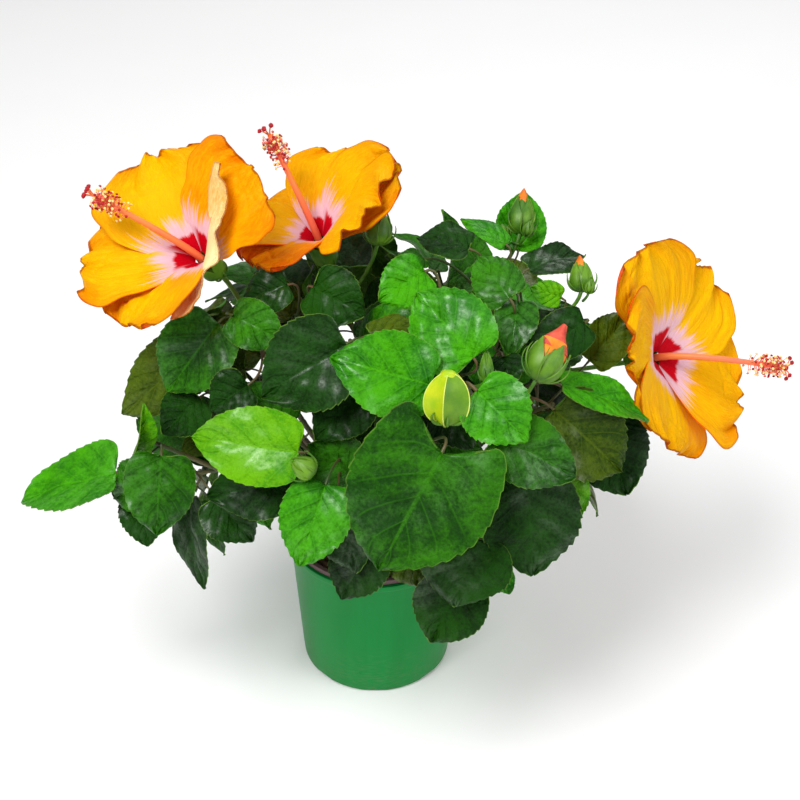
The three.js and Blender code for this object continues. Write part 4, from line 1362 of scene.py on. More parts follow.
BUD_FINISHES = (
    PlainFinish("bud_green", ink(48, 100, 8), ink(100, 146, 20), 0.5, 60),
    PlainFinish("bud_lime", ink(140, 186, 0), ink(196, 206, 10), 0.45, 60),
    PlainFinish("bud_orange", ink(212, 92, 4), ink(236, 142, 20), 0.5, 90),
    PlainFinish("bud_pink", ink(186, 24, 36), ink(218, 92, 62), 0.6, 70),
    PlainFinish("bud_pale", ink(190, 210, 70), ink(214, 224, 110), 0.5, 80),
    # A darker lime: painted shade on some facets of the spent calyx.
    PlainFinish("bud_painted_shade", ink(76, 126, 0), ink(112, 156, 0), 0.5, 70),
)
GREEN_SLOT, LIME_SLOT, ORANGE_SLOT, PINK_SLOT, PALE_SLOT, PAINTED_SHADE_SLOT = range(len(BUD_FINISHES))
GREEN_POT = PlasticFinish("green_plastic", ink(0, 126, 50), ink(12, 150, 68), 0.36, 0.117)
BROWN_POT = PlasticFinish("brown_plastic", ink(88, 66, 68), ink(126, 104, 104), 0.4, 0.122)
COMPOST = CompostFinish("compost", ink(34, 24, 18), ink(78, 58, 42))
CHIPS = CompostFinish("bark_chips", ink(52, 34, 24), ink(128, 94, 64))
FLOOR = PlainFinish("floor_paint", (0.96, 0.96, 0.96, 1), (0.98, 0.98, 0.98, 1), 0.9, 2, 0.0)


def choose(piece: bpy.types.Object) -> None:
    """Make one object the active one and the only one selected."""
    bpy.ops.object.select_all(action="DESELECT")
    bpy.context.view_layer.objects.active = piece
    piece.select_set(True)


@contextmanager
def editing(piece: bpy.types.Object) -> Iterator[None]:
    """Open one object alone for editing, with all of it selected."""
    choose(piece)
    bpy.ops.object.mode_set(mode="EDIT")
    bpy.ops.mesh.select_all(action="SELECT")
    yield
    bpy.ops.object.mode_set(mode="OBJECT")


def place_piece(piece: bpy.types.Object, replaced: Sequence[str]) -> bpy.types.Object:
    """Let a piece ride on the object and stand for its solids.

    Args:
        piece: The piece.
        replaced: The nodes of the solids.

    Returns:
        The piece.
    """
    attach(piece, "root")
    if replaced:
        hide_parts(*replaced)
    LOG.info("%s: %d faces", piece.name, len(piece.data.polygons))
    return piece


def rings_along(curve: Curve, radius: Radius, steps: int, sides: int,
                relief: Optional[Relief] = None) -> Points:
    """Rings of points round a curve, without twist.

    Args:
        curve: The line that they follow.
        radius: The radius in mm at shares of the length.
        steps: How many lengths the curve is cut into.
        sides: How many points there are in a ring.
        relief: What is added to the radius at lengths in mm and at angles.

    Returns:
        The points, by ring, point and axis.
    """
    shares = np.linspace(0, 1, steps + 1)
    middles, ahead = curve.at(shares), curve.ahead(shares)
    normal = unit(np.cross(ahead[0], [0.31, 0.17, 0.93]))
    normals = []
    for way in ahead:
        normal = unit(normal - way * np.dot(normal, way))
        normals.append(normal)
    normals = np.array(normals)
    binormals = np.cross(ahead, normals)
    angles = around(sides)
    radii = np.repeat(np.asarray(radius(shares), float)[:, None], sides, 1)
    if relief:
        radii = radii + relief(shares[:, None] * curve.length, angles[None, :])
    return (middles[:, None, :] + normals[:, None, :] * (radii * np.cos(angles))[..., None]
            + binormals[:, None, :] * (radii * np.sin(angles))[..., None])


class Shapes:
    """A mesh that gathers many surfaces, each a grid of points, and becomes one piece."""

    MERGED = 1e-6
    SMOOTH = math.radians(60)

    def __init__(self, name: str, *finishes: Finish) -> None:
        """Start empty, with the finishes that its surfaces may take."""
        self.name, self.finishes = name, finishes
        self.points: List[Points] = []
        self.corners: List[Points] = []
        self.maps: List[Points] = []
        self.slots: List[Points] = []
        self.tints: List[Points] = []
        self.count = 0

    def _faces(self, corners: Points, maps: Points, slot: int) -> None:
        """Add four-cornered faces of points that are there, with their places on the map."""
        self.corners.append(corners)
        self.maps.append(maps)
        self.slots.append(np.full(len(corners), slot))

    def add(self, points: Points, corners: Points, maps: Points, slot: int, tint: float) -> int:
        """Add points in mm and faces of them.

        Args:
            points: The points, in a table of any shape.
            corners: The faces' corners, counted within these points.
            maps: The corners' places on the map.
            slot: The faces' finish.
            tint: The number that the points carry.

        Returns:
            The number of the first point.
        """
        first, points = self.count, points.reshape(-1, 3)
        self.points.append(points * MM)
        self.tints.append(np.full(len(points), tint))
        self.count += len(points)
        self._faces(corners + first, maps, slot)
        return first

    @staticmethod
    def _grid(rows: int, columns: int, closed: bool) -> Tuple[Points, Points]:
        """Faces of a grid of points, and their corners' places on a map from 0 to 1.

        Args:
            rows: The number of rows.
            columns: The number of columns.
            closed: Whether the last column goes on to the first.

        Returns:
            The faces' corners and their places on the map.
        """
        wide, high = columns if closed else columns - 1, rows - 1
        i, j = (part.ravel() for part in grid(np.arange(high), np.arange(wide)))
        after = (j + 1) % columns
        faces = np.stack([i * columns + j, i * columns + after, (i + 1) * columns + after,
                          (i + 1) * columns + j], 1)
        u = np.stack([j, j + 1, j + 1, j], 1) / wide
        v = np.stack([i, i, i + 1, i + 1], 1) / high
        return faces, np.stack([u, v], 2)

    def sheet(self, over: Points, under: Points, slot: int, below: int, tint: float = 0.0) -> None:
        """Add a closed thin sheet.

        Args:
            over: A grid of points of its upper face: rows along, columns across.
            under: The same grid of its lower face.
            slot: The upper face's finish.
            below: The lower face's finish.
            tint: The number that its points carry.
        """
        rows, columns = over.shape[:2]
        faces, maps = self._grid(rows, columns, False)
        size = rows * columns
        start = self.add(np.concatenate([over, under]), faces, maps, slot, tint)
        self._faces(faces[:, ::-1] + start + size, maps[:, ::-1], below)
        border = np.concatenate([np.arange(columns), np.arange(1, rows) * columns + columns - 1,
                                 (rows - 1) * columns + np.arange(columns - 2, -1, -1),
                                 np.arange(rows - 2, 0, -1) * columns])
        after = np.roll(border, -1)
        edge = np.stack([border, border + size, after + size, after], 1) + start
        place = np.stack([(border % columns) / (columns - 1), (border // columns) / (rows - 1)], 1)
        following = np.roll(place, -1, 0)
        self._faces(edge, np.stack([place, place, following, following], 1), below)

    def rings(self, rings: Points, slot: int = 0, tint: float = 0.0) -> None:
        """Add a round body from rings of points, closed at both ends by a pole.

        Args:
            rings: The points, by ring, point and axis.
            slot: The place of its finish among the piece's.
            tint: The number that its points carry.
        """
        rows, columns = rings.shape[:2]
        poles = rings[[0, -1]].mean(1, keepdims=True).repeat(columns, 1)
        faces, maps = self._grid(rows + 2, columns, True)
        self.add(np.concatenate([poles[:1], rings, poles[1:]]), faces, maps, slot, tint)

    def tube(self, curve: Curve, radius: Radius, steps: int, sides: int, slot: int = 0,
             relief: Optional[Relief] = None, tint: float = 0.0) -> None:
        """Add a round body along a curve, with the arguments of rings_along."""
        self.rings(rings_along(curve, radius, steps, sides, relief), slot, tint)

    def make(self, *replaced: str, slot: str) -> bpy.types.Object:
        """Make the piece and hand it to the frame.

        Args:
            replaced: The nodes of the solids that it stands for.
            slot: Not used.

        Returns:
            The object.
        """
        mesh = bpy.data.meshes.new(self.name)
        points, corners = np.concatenate(self.points), np.concatenate(self.corners)
        mesh.vertices.add(len(points))
        mesh.vertices.foreach_set("co", points.astype(np.float32).ravel())
        mesh.loops.add(corners.size)
        mesh.loops.foreach_set("vertex_index", corners.astype(np.int32).ravel())
        mesh.polygons.add(len(corners))
        mesh.polygons.foreach_set("loop_start", np.arange(0, corners.size, 4, dtype=np.int32))
        mesh.polygons.foreach_set("material_index", np.concatenate(self.slots).astype(np.int32))
        mesh.update(calc_edges=True)
        layer = mesh.uv_layers.new(name="UVMap")
        layer.data.foreach_set("uv", np.concatenate(self.maps).astype(np.float32).ravel())
        tint = mesh.attributes.new("tint", "FLOAT", "POINT")
        tint.data.foreach_set("value", np.concatenate(self.tints).astype(np.float32))
        piece = bpy.data.objects.new(self.name, mesh)
        bpy.context.collection.objects.link(piece)
        for finish in self.finishes:
            mesh.materials.append(finish.material())
        with editing(piece):
            bpy.ops.mesh.remove_doubles(threshold=self.MERGED)
        bpy.ops.object.shade_smooth_by_angle(angle=self.SMOOTH)
        return place_piece(piece, replaced)


@dataclass
class Pots:
    """The green pot and the thin brown pot in it, in mm."""

    height: float = 117
    rim: float = 65
    base: float = 57.5
    wall: float = 1.8
    floor: float = 5
    lip_height: float = 5
    lip_out: float = 1.4
    feet: int = 8
    foot_width: float = 23
    foot_rise: float = 3
    foot_reach: float = 12
    liner_above: float = 5
    liner_wall: float = 1.6
    liner_edge: float = 1.8
    gap: float = 0.3
    waist: float = 60
    sides: int = 96

    def _radius(self, z: float) -> float:
        """The green pot's outside radius at a height."""
        return mix(self.base, self.rim, z / self.height)

    def _turned(self, name: str, profile: Sequence[Tuple[float, float]]) -> bpy.types.Object:
        """Turn a closed shell from a profile, by extruding and scaling its top face.

        Args:
            name: The piece's name.
            profile: Radii and heights, from the underside up the outside and down to the floor.

        Returns:
            The object.
        """
        bpy.ops.object.select_all(action="DESELECT")
        radius, height = profile[0]
        bpy.ops.mesh.primitive_circle_add(vertices=self.sides, radius=radius * MM, fill_type="NGON",
                                          location=(0, 0, height * MM))
        made = bpy.context.object
        made.name = name
        bpy.ops.object.transform_apply(location=True, rotation=False, scale=False)
        with editing(made):
            bpy.ops.mesh.select_mode(type="FACE")
            for wider, higher in profile[1:]:
                rise = (0, 0, (higher - height) * MM)
                bpy.ops.mesh.extrude_region_move(TRANSFORM_OT_translate={"value": rise})
                bpy.ops.transform.resize(value=(wider / radius, wider / radius, 1),
                                         center_override=(0, 0, higher * MM))
                radius, height = wider, higher
            bpy.ops.mesh.select_all(action="SELECT")
            bpy.ops.mesh.normals_make_consistent(inside=False)
        return made

    def _arches(self) -> bpy.types.Object:
        """The body that cuts the shallow arches between the feet."""
        arches = []
        for turn in around(self.feet):
            bpy.ops.object.select_all(action="DESELECT")
            bpy.ops.mesh.primitive_cylinder_add(
                vertices=40, radius=1, depth=self.foot_reach * 2 * MM, rotation=(math.pi / 2, 0, 0))
            arches.append(bpy.context.object)
            bpy.ops.object.transform_apply(location=True, rotation=True, scale=True)
            with editing(arches[-1]):
                size = (self.foot_width / 2 * MM, 1, self.foot_rise * MM)
                bpy.ops.transform.resize(value=size, center_override=(0, 0, 0))
                bpy.ops.transform.translate(value=(0, -self.base * MM, 0))
                bpy.ops.transform.rotate(value=turn, orient_axis="Z", center_override=(0, 0, 0))
        for arch in arches:
            arch.select_set(True)
        bpy.context.view_layer.objects.active = arches[0]
        bpy.ops.object.join()
        return bpy.context.object

    @staticmethod
    def _finish(made: bpy.types.Object, finish: PlasticFinish, edge: float, node: str) -> None:
        """Round the edges of a shell and dress it.

        Args:
            made: The shell.
            finish: Its plastic.
            edge: The width of the rounding in mm.
            node: The solid that it stands for.
        """
        choose(made)
        bevel = made.modifiers.new("edges", "BEVEL")
        bevel.width, bevel.segments, bevel.limit_method = edge * MM, 3, "ANGLE"
        bevel.angle_limit = math.radians(25)
        bpy.ops.object.modifier_apply(modifier="edges")
        bpy.ops.object.shade_smooth_by_angle(angle=math.radians(40))
        made.data.materials.clear()
        made.data.materials.append(finish.material())
        place_piece(made, [node])

    def build(self) -> None:
        """Build both pots."""
        inner = [self._radius(z) - self.wall for z in (self.height, self.waist, self.floor)]
        under, lip = self.height - self.lip_height, self.rim + self.lip_out
        outside = [(self._radius(z), z) for z in (8, 40, 80, under - 1.2)]
        shell = self._turned("green_pot", [
            (self.base - 2, 0), (self.base, 2), *outside, (self.rim + self.lip_out * 0.7, under),
            (lip, under + 1), (lip, self.height), (inner[0], self.height), (inner[1], self.waist),
            (inner[2], self.floor)])
        cutter = self._arches()
        choose(shell)
        cut = shell.modifiers.new("arches", "BOOLEAN")
        cut.object, cut.operation, cut.solver = cutter, "DIFFERENCE", "EXACT"
        bpy.ops.object.modifier_apply(modifier="arches")
        bpy.data.objects.remove(cutter)
        self._finish(shell, GREEN_POT, 0.5, "pot")
        low, middle, high = (self._radius(z) - self.wall - self.gap
                             for z in (self.floor + 1, self.waist, self.height))
        top, foot = self.height + self.liner_above, self.floor + self.gap
        edge = high + self.liner_edge
        liner = self._turned("brown_pot", [
            (low - 1, foot), (low, foot + 1), (middle, self.waist), (high, self.height),
            (high, self.height + 1), (edge, self.height + 1), (edge, top),
            (high - self.liner_wall, top), (middle - self.liner_wall, self.waist),
            (low - self.liner_wall, foot + 3)])
        self._finish(liner, BROWN_POT, 0.35, "inner_pot")


@dataclass
class Compost:
    """The plug of compost, with bark chips strewn on it, in mm."""

    top: float = 108
    radius: float = 59.5
    foot: float = 9
    rim: float = 7
    chips: int = 210
    rounds: int = 26
    sides: int = 96
    swell: float = 1.4

    @staticmethod
    def _chip() -> Tuple[Points, Points]:
        """One rough chip, as its points and four-cornered faces."""
        bpy.ops.object.select_all(action="DESELECT")
        bpy.ops.mesh.primitive_cube_add(size=1)
        chip = bpy.context.object
        with editing(chip):
            bpy.ops.mesh.subdivide(number_cuts=1)
            bpy.ops.transform.vertex_random(offset=0.14, seed=7)
            bpy.ops.mesh.select_all(action="DESELECT")
        points = np.array([v.co[:] for v in chip.data.vertices])
        faces = np.array([p.vertices[:] for p in chip.data.polygons])
        bpy.data.objects.remove(chip)
        return points, faces

    def _surface(self) -> Points:
        """Rings of points: the uneven top from its middle outwards, and the plug's foot."""
        radii = np.linspace(0.4, 1, self.rounds) ** 0.8 * self.radius
        radii[0] = 0.5
        angles = around(self.sides)
        x, y = radii[:, None] * np.cos(angles), radii[:, None] * np.sin(angles)
        lump = (np.sin(x * 0.21 + 1) * np.cos(y * 0.19) + 0.6 * np.sin(x * 0.53 + y * 0.41)
                + 0.4 * np.cos(x * 1.3) * np.sin(y * 1.1 + 2))
        z = self.top - 1 + self.swell * lump * smooth(0, 8, self.radius - radii)[:, None]
        top = np.stack([x, y, z], 2)
        skirt = top[-1:] * (0.9, 0.9, 0)
        skirt[..., 2] = self.foot
        return np.concatenate([top, skirt])

    def build(self) -> None:
        """Cover the plug with uneven compost and strew the chips."""
        random = Seeded(400)
        soil = Shapes("compost_top", COMPOST, CHIPS)
        soil.rings(self._surface())
        points, faces = self._chip()
        maps = np.tile(np.array([[0, 0], [1, 0], [1, 1], [0, 1]], float), (len(faces), 1, 1))
        for _ in range(self.chips):
            angle, out = random() * math.tau, math.sqrt(random.between(0.03, 1))
            size = np.array([random.between(5, 13), random.between(3, 7), random.between(1.4, 3)])
            turn, tip = random() * math.tau, random.between(-0.5, 0.5)
            sine, cosine = math.sin(tip), math.cos(tip)
            tipped = [[cosine, 0, sine], [0, 1, 0], [-sine, 0, cosine]]
            sine, cosine = math.sin(turn), math.cos(turn)
            turned = [[cosine, sine, 0], [-sine, cosine, 0], [0, 0, 1]]
            away = out * (self.radius - self.rim)
            height = self.top + random.between(0.2, 2.2)
            place = [away * math.cos(angle), away * math.sin(angle), height]
            chip = points * size @ np.array(tipped) @ np.array(turned) + place
            soil.add(chip, faces, maps, 1, random())
        soil.make("soil", slot="soil")


@dataclass
class Wood:
    """Trunk and boughs with their bark, in mm."""

    foot: float = 10.5
    neck: float = 7.2
    tip: float = 5.2
    flare: float = 6
    bough_root: float = 2.9
    bough_tip: float = 2.0
    bough_flare: float = 2.2
    bough_step: float = 2.6

    def _trunk_radius(self, share: Points) -> Points:
        """The trunk's radius at shares of its length."""
        flare = (self.foot - self.neck) * np.exp(-share * Growth.TRUNK_HEIGHT / self.flare)
        return self.neck + (self.tip - self.neck) * share + flare

    @staticmethod
    def _bark(depth: float, seed: int) -> Relief:
        """Relief of long ridges, rings and knots."""
        def relief(along: Points, angle: Points) -> Points:
            """How far the bark stands out."""
            twist = angle + 0.012 * along * (1 if seed % 2 else -1)
            ridges = np.sin(3 * twist + seed) * 0.5 + np.sin(7 * twist + 0.11 * along + seed) * 0.35
            rings = np.sin(0.9 * along + 2 * np.sin(angle + seed)) * 0.25
            return depth * (ridges + np.sin(13 * twist + 0.5 * along) * 0.2 + rings)
        return relief

    def build(self, growth: Growth) -> None:
        """Build the trunk and every bough, grown into each other."""
        wood = Shapes("trunk_and_boughs", BARK)
        wood.tube(growth.trunk, self._trunk_radius, 60, 40, relief=self._bark(0.45, 3))
        for grown in growth.masses:
            bough, even = grown.bough, tapered(self.bough_root, self.bough_tip)
            swell = lambda share: even(share) + self.bough_flare * np.exp(-share * bough.length / 9)
            bark = self._bark(0.2, grown.mass.seed)
            wood.tube(bough, swell, int(bough.length / self.bough_step), 14, relief=bark)
        wood.make("trunk", *("bough_" + grown.mass.name for grown in growth.masses), slot="bark")


@dataclass
class Foliage:
    """Leaves, the shoots that bear them and their stalks, in mm, or in shares of a leaf's width.

    Rows, halves and teeth are those of a leaf that shows, a large free one and a small one.
    """

    thickness: Tuple[float, float, float] = (0.55, 0.55, 0.44)
    rows: Tuple[int, int, int] = (60, 40, 27)
    halves: Tuple[int, int, int] = (12, 8, 5)
    teeth: Tuple[int, int, int] = (14, 10, 7)
    stalk: Tuple[float, float, float] = (0.82, 0.82, 0.6)
    veins: float = 5
    tooth: float = 0.025
    quilt: float = 0.010
    blister: float = 0.0060
    midrib: float = 0.010
    midrib_width: float = 0.05
    node_gap: float = 11

    def _margin(self, leaf: Leaf, share: Points, t: Points, u: Points, random: Seeded) -> Points:
        """How far the margin's rounded teeth stand out.

        Args:
            leaf: The leaf.
            share: Shares of its length, one for each row.
            t: Where the rows stand on the blade.
            u: Places across from -1 to 1.
            random: The seeded numbers to draw.

        Returns:
            What is added to the points.
        """
        scallop = (self.teeth[leaf.grade] * share ** 0.9 + random()) % 1.0
        scallop = scallop ** 0.8 * smooth(1, 0.8, scallop) - 0.4
        edge = np.abs(u) ** 8 * np.sin(np.pi * t) ** 0.3
        tooth = scallop[:, None] * edge * self.tooth * leaf.width * random.between(0.7, 1.5)
        return leaf.across * (np.sign(u) * tooth)[..., None] + leaf.along * (tooth * 0.8)[..., None]

    def _surface(self, leaf: Leaf, random: Seeded) -> Points:
        """A leaf's middle surface with its scalloped margin, waves, veins and droop."""
        share = np.linspace(0, 1, self.rows[leaf.grade] + 1)
        columns = 2 * self.halves[leaf.grade] + 1
        t, u = grid(0.001 + 0.994 * share ** 1.15, np.linspace(-1, 1, columns))
        points = leaf.blade(t, u, 0.08, random.between(0.7, 1.0))
        points += self._margin(leaf, share, t, u, random)
        width, side = leaf.width * leaf.half_width(t), np.abs(u)
        lift = random.between(0.02, 0.06) * leaf.width * u * u * np.sin(
            math.tau * t * random.between(1.2, 2.2) + np.where(u > 0, random() * 6, random() * 6))
        phase = share[:, None] * self.veins - side ** 0.85 * 1.9
        quilt = 0.5 - 0.5 * np.cos(math.tau * phase)
        quilt = quilt * smooth(0, 0.25, side) * smooth(1, 0.6, side)
        lift += quilt * self.quilt * leaf.width * np.sin(np.pi * t) ** 0.5
        lift -= np.exp(-(u / self.midrib_width) ** 2) * self.midrib * leaf.width
        lift += u * width * math.sin(random.between(-0.35, 0.35)) * (t - 0.3)
        lift -= random.between(-0.03, 0.2) * width * u * u
        lift += side * width * random.between(-0.12, 0.14)
        for _ in range(9):
            wave = random.between(5, 17) * t + random.between(-9, 9) * u + random() * 6.3
            lift += np.sin(wave) * self.blister * leaf.width
        if not leaf.shows:
            lift -= random.between(0.02, 0.12) * leaf.length * smooth(0.45, 1, t)
        return points + leaf.normal * lift[..., None]

    def build(self, growth: Growth) -> None:
        """Build each mass's leaves as a piece, and all its shoots and stalks as another."""
        shoots, stalks = Shapes("shoots", GREEN_WOOD), Shapes("leaf_stalks", PETIOLE)
        for grown in growth.masses:
            name = grown.mass.name
            random = Seeded(grown.mass.seed + 500)
            self._shoots(grown, shoots)
            leaves = Shapes("leaves_" + name, *LEAF_FINISHES)
            young = [self._young(grown, one) for one in YOUNG if one.mass == name]
            for leaf in [*grown.leaves, *young]:
                middle = self._surface(leaf, random)
                half = normals_of(middle) * self.thickness[leaf.grade] / 2
                leaves.sheet(middle + half, middle - half, leaf.tone.value, len(Tone), random())
                self._stalk(leaf, stalks)
            leaves.make("mass_" + name, slot="foliage")
        shoots.make(slot="bark")
        stalks.make(slot="foliage")

    @staticmethod
    def _young(grown: Grown, young: Young) -> Leaf:
        """A young leaf that hangs on the nearest shoot of its mass."""
        leaf = Leaf(young.base, young.tip, young.width, young.facing, 0.05, young.fold)
        points = np.concatenate([shoot.at(np.linspace(0.2, 1, 40)) for shoot in grown.shoots])
        leaf.root = points[np.argmin(np.linalg.norm(points - leaf.base, axis=1))]
        leaf.tone, leaf.shows, leaf.grade = young.tone, True, 1
        return leaf

    def _shoots(self, grown: Grown, shoots: Shapes) -> None:
        """Build a mass's stem and twigs, knotted where leaves leave them."""
        def knots(along: Points, angle: Points) -> Points:
            """How far a shoot stands out at its knots."""
            knot = np.maximum(0, np.cos(along * math.tau / self.node_gap)) ** 6
            return 0.28 * knot + 0.05 * np.sin(5 * angle + along)
        stem, *twigs = grown.shoots
        shoots.tube(stem, tapered(2.0, 1.4), int(stem.length / 2.2), 12, relief=knots)
        for twig in twigs:
            shoots.tube(twig, tapered(1.5, 0.9), int(twig.length / 2.2) + 1, 10, relief=knots)
        for twig in grown.fine:
            shoots.tube(twig, tapered(1.1, 0.6), int(twig.length / 3) + 1, 8)

    def _stalk(self, leaf: Leaf, stalks: Shapes) -> None:
        """Build a leaf's stalk, thicker at both ends and stouter where it is over 40 mm long."""
        curve = leaf.stalk()
        stout = self.stalk[leaf.grade] + 0.012 * max(0.0, curve.length - 40)

        def radius(share: Points) -> Points:
            """The stalk's radius at shares of its length."""
            ends = 0.35 * np.exp(-share * curve.length / 1.5) + 0.25 * smooth(0.93, 1, share)
            return stout * (1 - 0.25 * share) + ends
        stalks.tube(curve, radius, max(6, int(curve.length / 3.5)), 8)


@dataclass
class Blooms:
    """The open blooms with their calyx, column, anthers and stalk, in mm."""

    rows: int = 60
    columns: int = 76
    thickness: float = 0.6
    filaments: int = 120
    filament_reach: Tuple[float, float] = (4.5, 8.0)
    anther: Tuple[float, float] = (0.7, 1.05)
    stigma: Tuple[float, float] = (1.4, 1.75)
    style: float = 10.5
    column_root: float = 2.6
    column_tip: float = 1.5
    cup_radius: float = 8.5
    cup_wall: float = 0.06

    @staticmethod
    def _flank(petal: Petal, t: Points, u: Points, random: Seeded) -> Points:
        """How far the petal's sides wave outwards.

        Args:
            petal: The petal's sizes.
            t: Shares of the petal's length.
            u: Places across from -1 to 1.
            random: The seeded numbers to draw.

        Returns:
            The distances in mm.
        """
        wave = np.sin(random.between(5, 8) * t + random() * 6)
        wave = wave + 0.5 * np.sin(random.between(15, 22) * t + random() * 6)
        share = 0.022 * petal.width * petal.ruffle
        return wave * (share * np.sign(u) * np.abs(u) ** 3 * smooth(0.2, 0.5, t))

    @staticmethod
    def _ruffles(petal: Petal, t: Points, u: Points, random: Seeded) -> Points:
        """Three trains of waves round the rim, each finer than the last.

        Args:
            petal: The petal's sizes.
            t: Shares of the petal's length.
            u: Places across from -1 to 1.
            random: The seeded numbers to draw.

        Returns:
            The heights in mm.
        """
        ruffle = np.zeros_like(t)
        for wave in range(3):
            turns = random.between(1.1, 1.8) * (wave + 1)
            ruffle += np.sin(math.tau * (turns * u + random()) + 2 * t) / (wave + 1.0) ** 1.7
        return ruffle * petal.ruffle * (2.2 * smooth(0.55, 1, t) ** 1.5 + 0.5 * smooth(0.2, 0.8, t))

    @staticmethod
    def _creases(t: Points, u: Points, random: Seeded) -> Points:
        """Twelve creases up the petal and three across its rim.

        Args:
            t: Shares of the petal's length.
            u: Places across from -1 to 1.
            random: The seeded numbers to draw.

        Returns:
            The heights in mm.
        """
        crease = np.zeros_like(t)
        for _ in range(12):
            middle, slope = random.between(-0.9, 0.9), random.between(-0.3, 0.3)
            line = np.exp(-((u - middle - slope * (t - 0.5)) / random.between(0.02, 0.05)) ** 2)
            crease -= line * smooth(0.15, 0.5, t) * smooth(1.1, 0.8, t) * random.between(0.3, 0.8)
        for _ in range(3):
            middle, slope = random.between(0.7, 0.9), random.between(-0.12, 0.12)
            way = random.between(-1, 1)
            line = np.exp(-((t - middle - slope * u + 0.05 * np.sin(7 * u + 9 * way)) / 0.018) ** 2)
            line = line * smooth(0.55, 0.1, np.abs(u - way * 0.6)) * smooth(0.95, 0.7, np.abs(u))
            crease -= line * 0.8
        return crease

    def _petal(self, shape: BloomShape, index: int, random: Seeded) -> Points:
        """A petal's middle surface with its wrinkles, ruffles, creases and waves.

        Args:
            shape: The bloom.
            index: Which petal.
            random: The seeded numbers to draw.

        Returns:
            The points, by row, column and axis.
        """
        petal = shape.bloom.petals[index]
        share = np.linspace(0, 1, self.rows)
        t, u = grid(0.02 + 0.98 * share ** 0.92, np.linspace(-1, 1, self.columns))
        reached = t * (1 - 0.07 * u * u * smooth(0.5, 1, t)) * (1 - 0.36 * petal.roll)
        placed = (u + petal.aside * smooth(0, 0.4, t)) * petal.spread
        placed = placed * (1 + 0.13 * smooth(0.5, 0.9, t))
        points = shape.petal(index, reached, placed, True)
        normal, radial = normals_of(points), unit(np.gradient(points, axis=0))
        points += unit(np.gradient(points, axis=1)) * self._flank(petal, t, u, random)[..., None]
        lift = self._ruffles(petal, t, u, random) + self._creases(t, u, random)
        crumple = np.zeros_like(t)
        for _ in range(7):
            wave = random.between(14, 42) * u + random.between(-14, 14) * t + random() * 6
            crumple += np.sin(wave) * random.between(0.3, 0.7)
        rim = np.maximum(smooth(0.86, 1, t), smooth(0.88, 1, np.abs(u)) * smooth(0.2, 0.45, t))
        lift += crumple * (0.12 * petal.ruffle * smooth(0.15, 0.6, t) + 0.16 * rim)
        frill = 0.0012 * crumple + 0.016 * np.sin(random.between(4, 7) * u + random() * 6)
        frill = frill + 0.003 * np.sin(random.between(11, 17) * u + random() * 6)
        frill = frill * (petal.length * petal.ruffle * smooth(0.8, 1, t))
        return points + normal * lift[..., None] + radial * frill[..., None]

    def _brush(self, shape: BloomShape, random: Seeded, brush: Shapes) -> None:
        """The filaments with their anthers, and the five stigma pads beyond them.

        Args:
            shape: The bloom.
            random: The seeded numbers to draw.
            brush: The piece that they join.
        """
        column = shape.column()
        for i in range(self.filaments):
            share = mix(0.68, 0.965, math.sqrt((i + 0.5) / self.filaments))
            root, way = column.at(share), column.ahead(share)
            side = sideways(way, i * GOLDEN)
            length = random.between(*self.filament_reach)
            end = root + side * length + way * random.between(-0.5, 4.0)
            bent = root + side * length * 0.6 + way * random.between(-1.0, 2.5)
            brush.tube(Curve(root, bent, end), tapered(0.32, 0.2), 4, 5, FILAMENT_SLOT)
            kind = random()
            slot = ANTHER_SLOT if kind < 0.5 else STIGMA_SLOT if kind < 0.85 else FILAMENT_SLOT
            self._bead(brush, end, unit(side + way * 0.3), self.anther, slot, random())
        tip, ahead = column.at(0.95), column.ahead(1.0)
        for angle in around(5):
            side = turned_about(shape.aside, ahead, angle)
            end = tip + unit(side + ahead * 1.3) * self.style
            brush.tube(Curve(tip, tip + ahead * 6.5, end), tapered(0.6, 0.4), 6, 6, STYLE_SLOT)
            self._bead(brush, end, unit(end - tip), self.stigma, STIGMA_SLOT, random())

    @staticmethod
    def _bead(brush: Shapes, middle: Points, axis: Points, size: Tuple[float, float], slot: int,
              tint: float) -> None:
        """A small body of few faces: its half length and radius, lying along its axis.

        Args:
            brush: The piece that it joins.
            middle: Its middle.
            axis: The way that it lies.
            size: Half its length, and its radius.
            slot: The place of its finish among the piece's.
            tint: The number that its points carry.
        """
        line = Curve(middle - axis * size[0], middle, middle + axis * size[0])
        radius = lambda s: size[1] * np.sqrt(np.maximum(0.05, 1 - (2 * s - 1) ** 2))
        brush.tube(line, radius, 3, 6, slot, tint=tint)

    def _calyx(self, shape: BloomShape, green: Shapes) -> None:
        """The five-lobed calyx cup and the thin bracts round its foot."""
        foot = shape.throat - shape.axis * shape.CALYX_LENGTH
        angles = around(60)
        out = shape.upright * np.cos(angles)[:, None] + shape.aside * np.sin(angles)[:, None]
        lobes = np.abs(np.cos(2.5 * angles)) ** 0.8
        rows = []
        for s in np.linspace(0, 1, 16):
            opened = mix(0.3, 1, math.sin(math.pi / 2 * min(1, s * 1.7)))
            radius = self.cup_radius * opened + 1.2 * s * s + 1.6 * smooth(0.6, 1, s) * lobes
            radius = radius * (1 + 0.05 * np.cos(5 * angles) * s)
            height = shape.CALYX_LENGTH * s * (0.62 + 0.42 * lobes * s) + 2.5 * lobes * s * s
            rows.append(foot + shape.axis * height[:, None] + out * radius[:, None])
        outer = np.array(rows)
        outer = np.concatenate([outer, outer[:, :1]], 1)
        inner = outer - (outer - (foot + shape.axis * shape.CALYX_LENGTH / 2)) * self.cup_wall
        green.sheet(outer, inner, 0, 0)
        bracts(green, foot, shape.axis, 6.5, 13, 7)

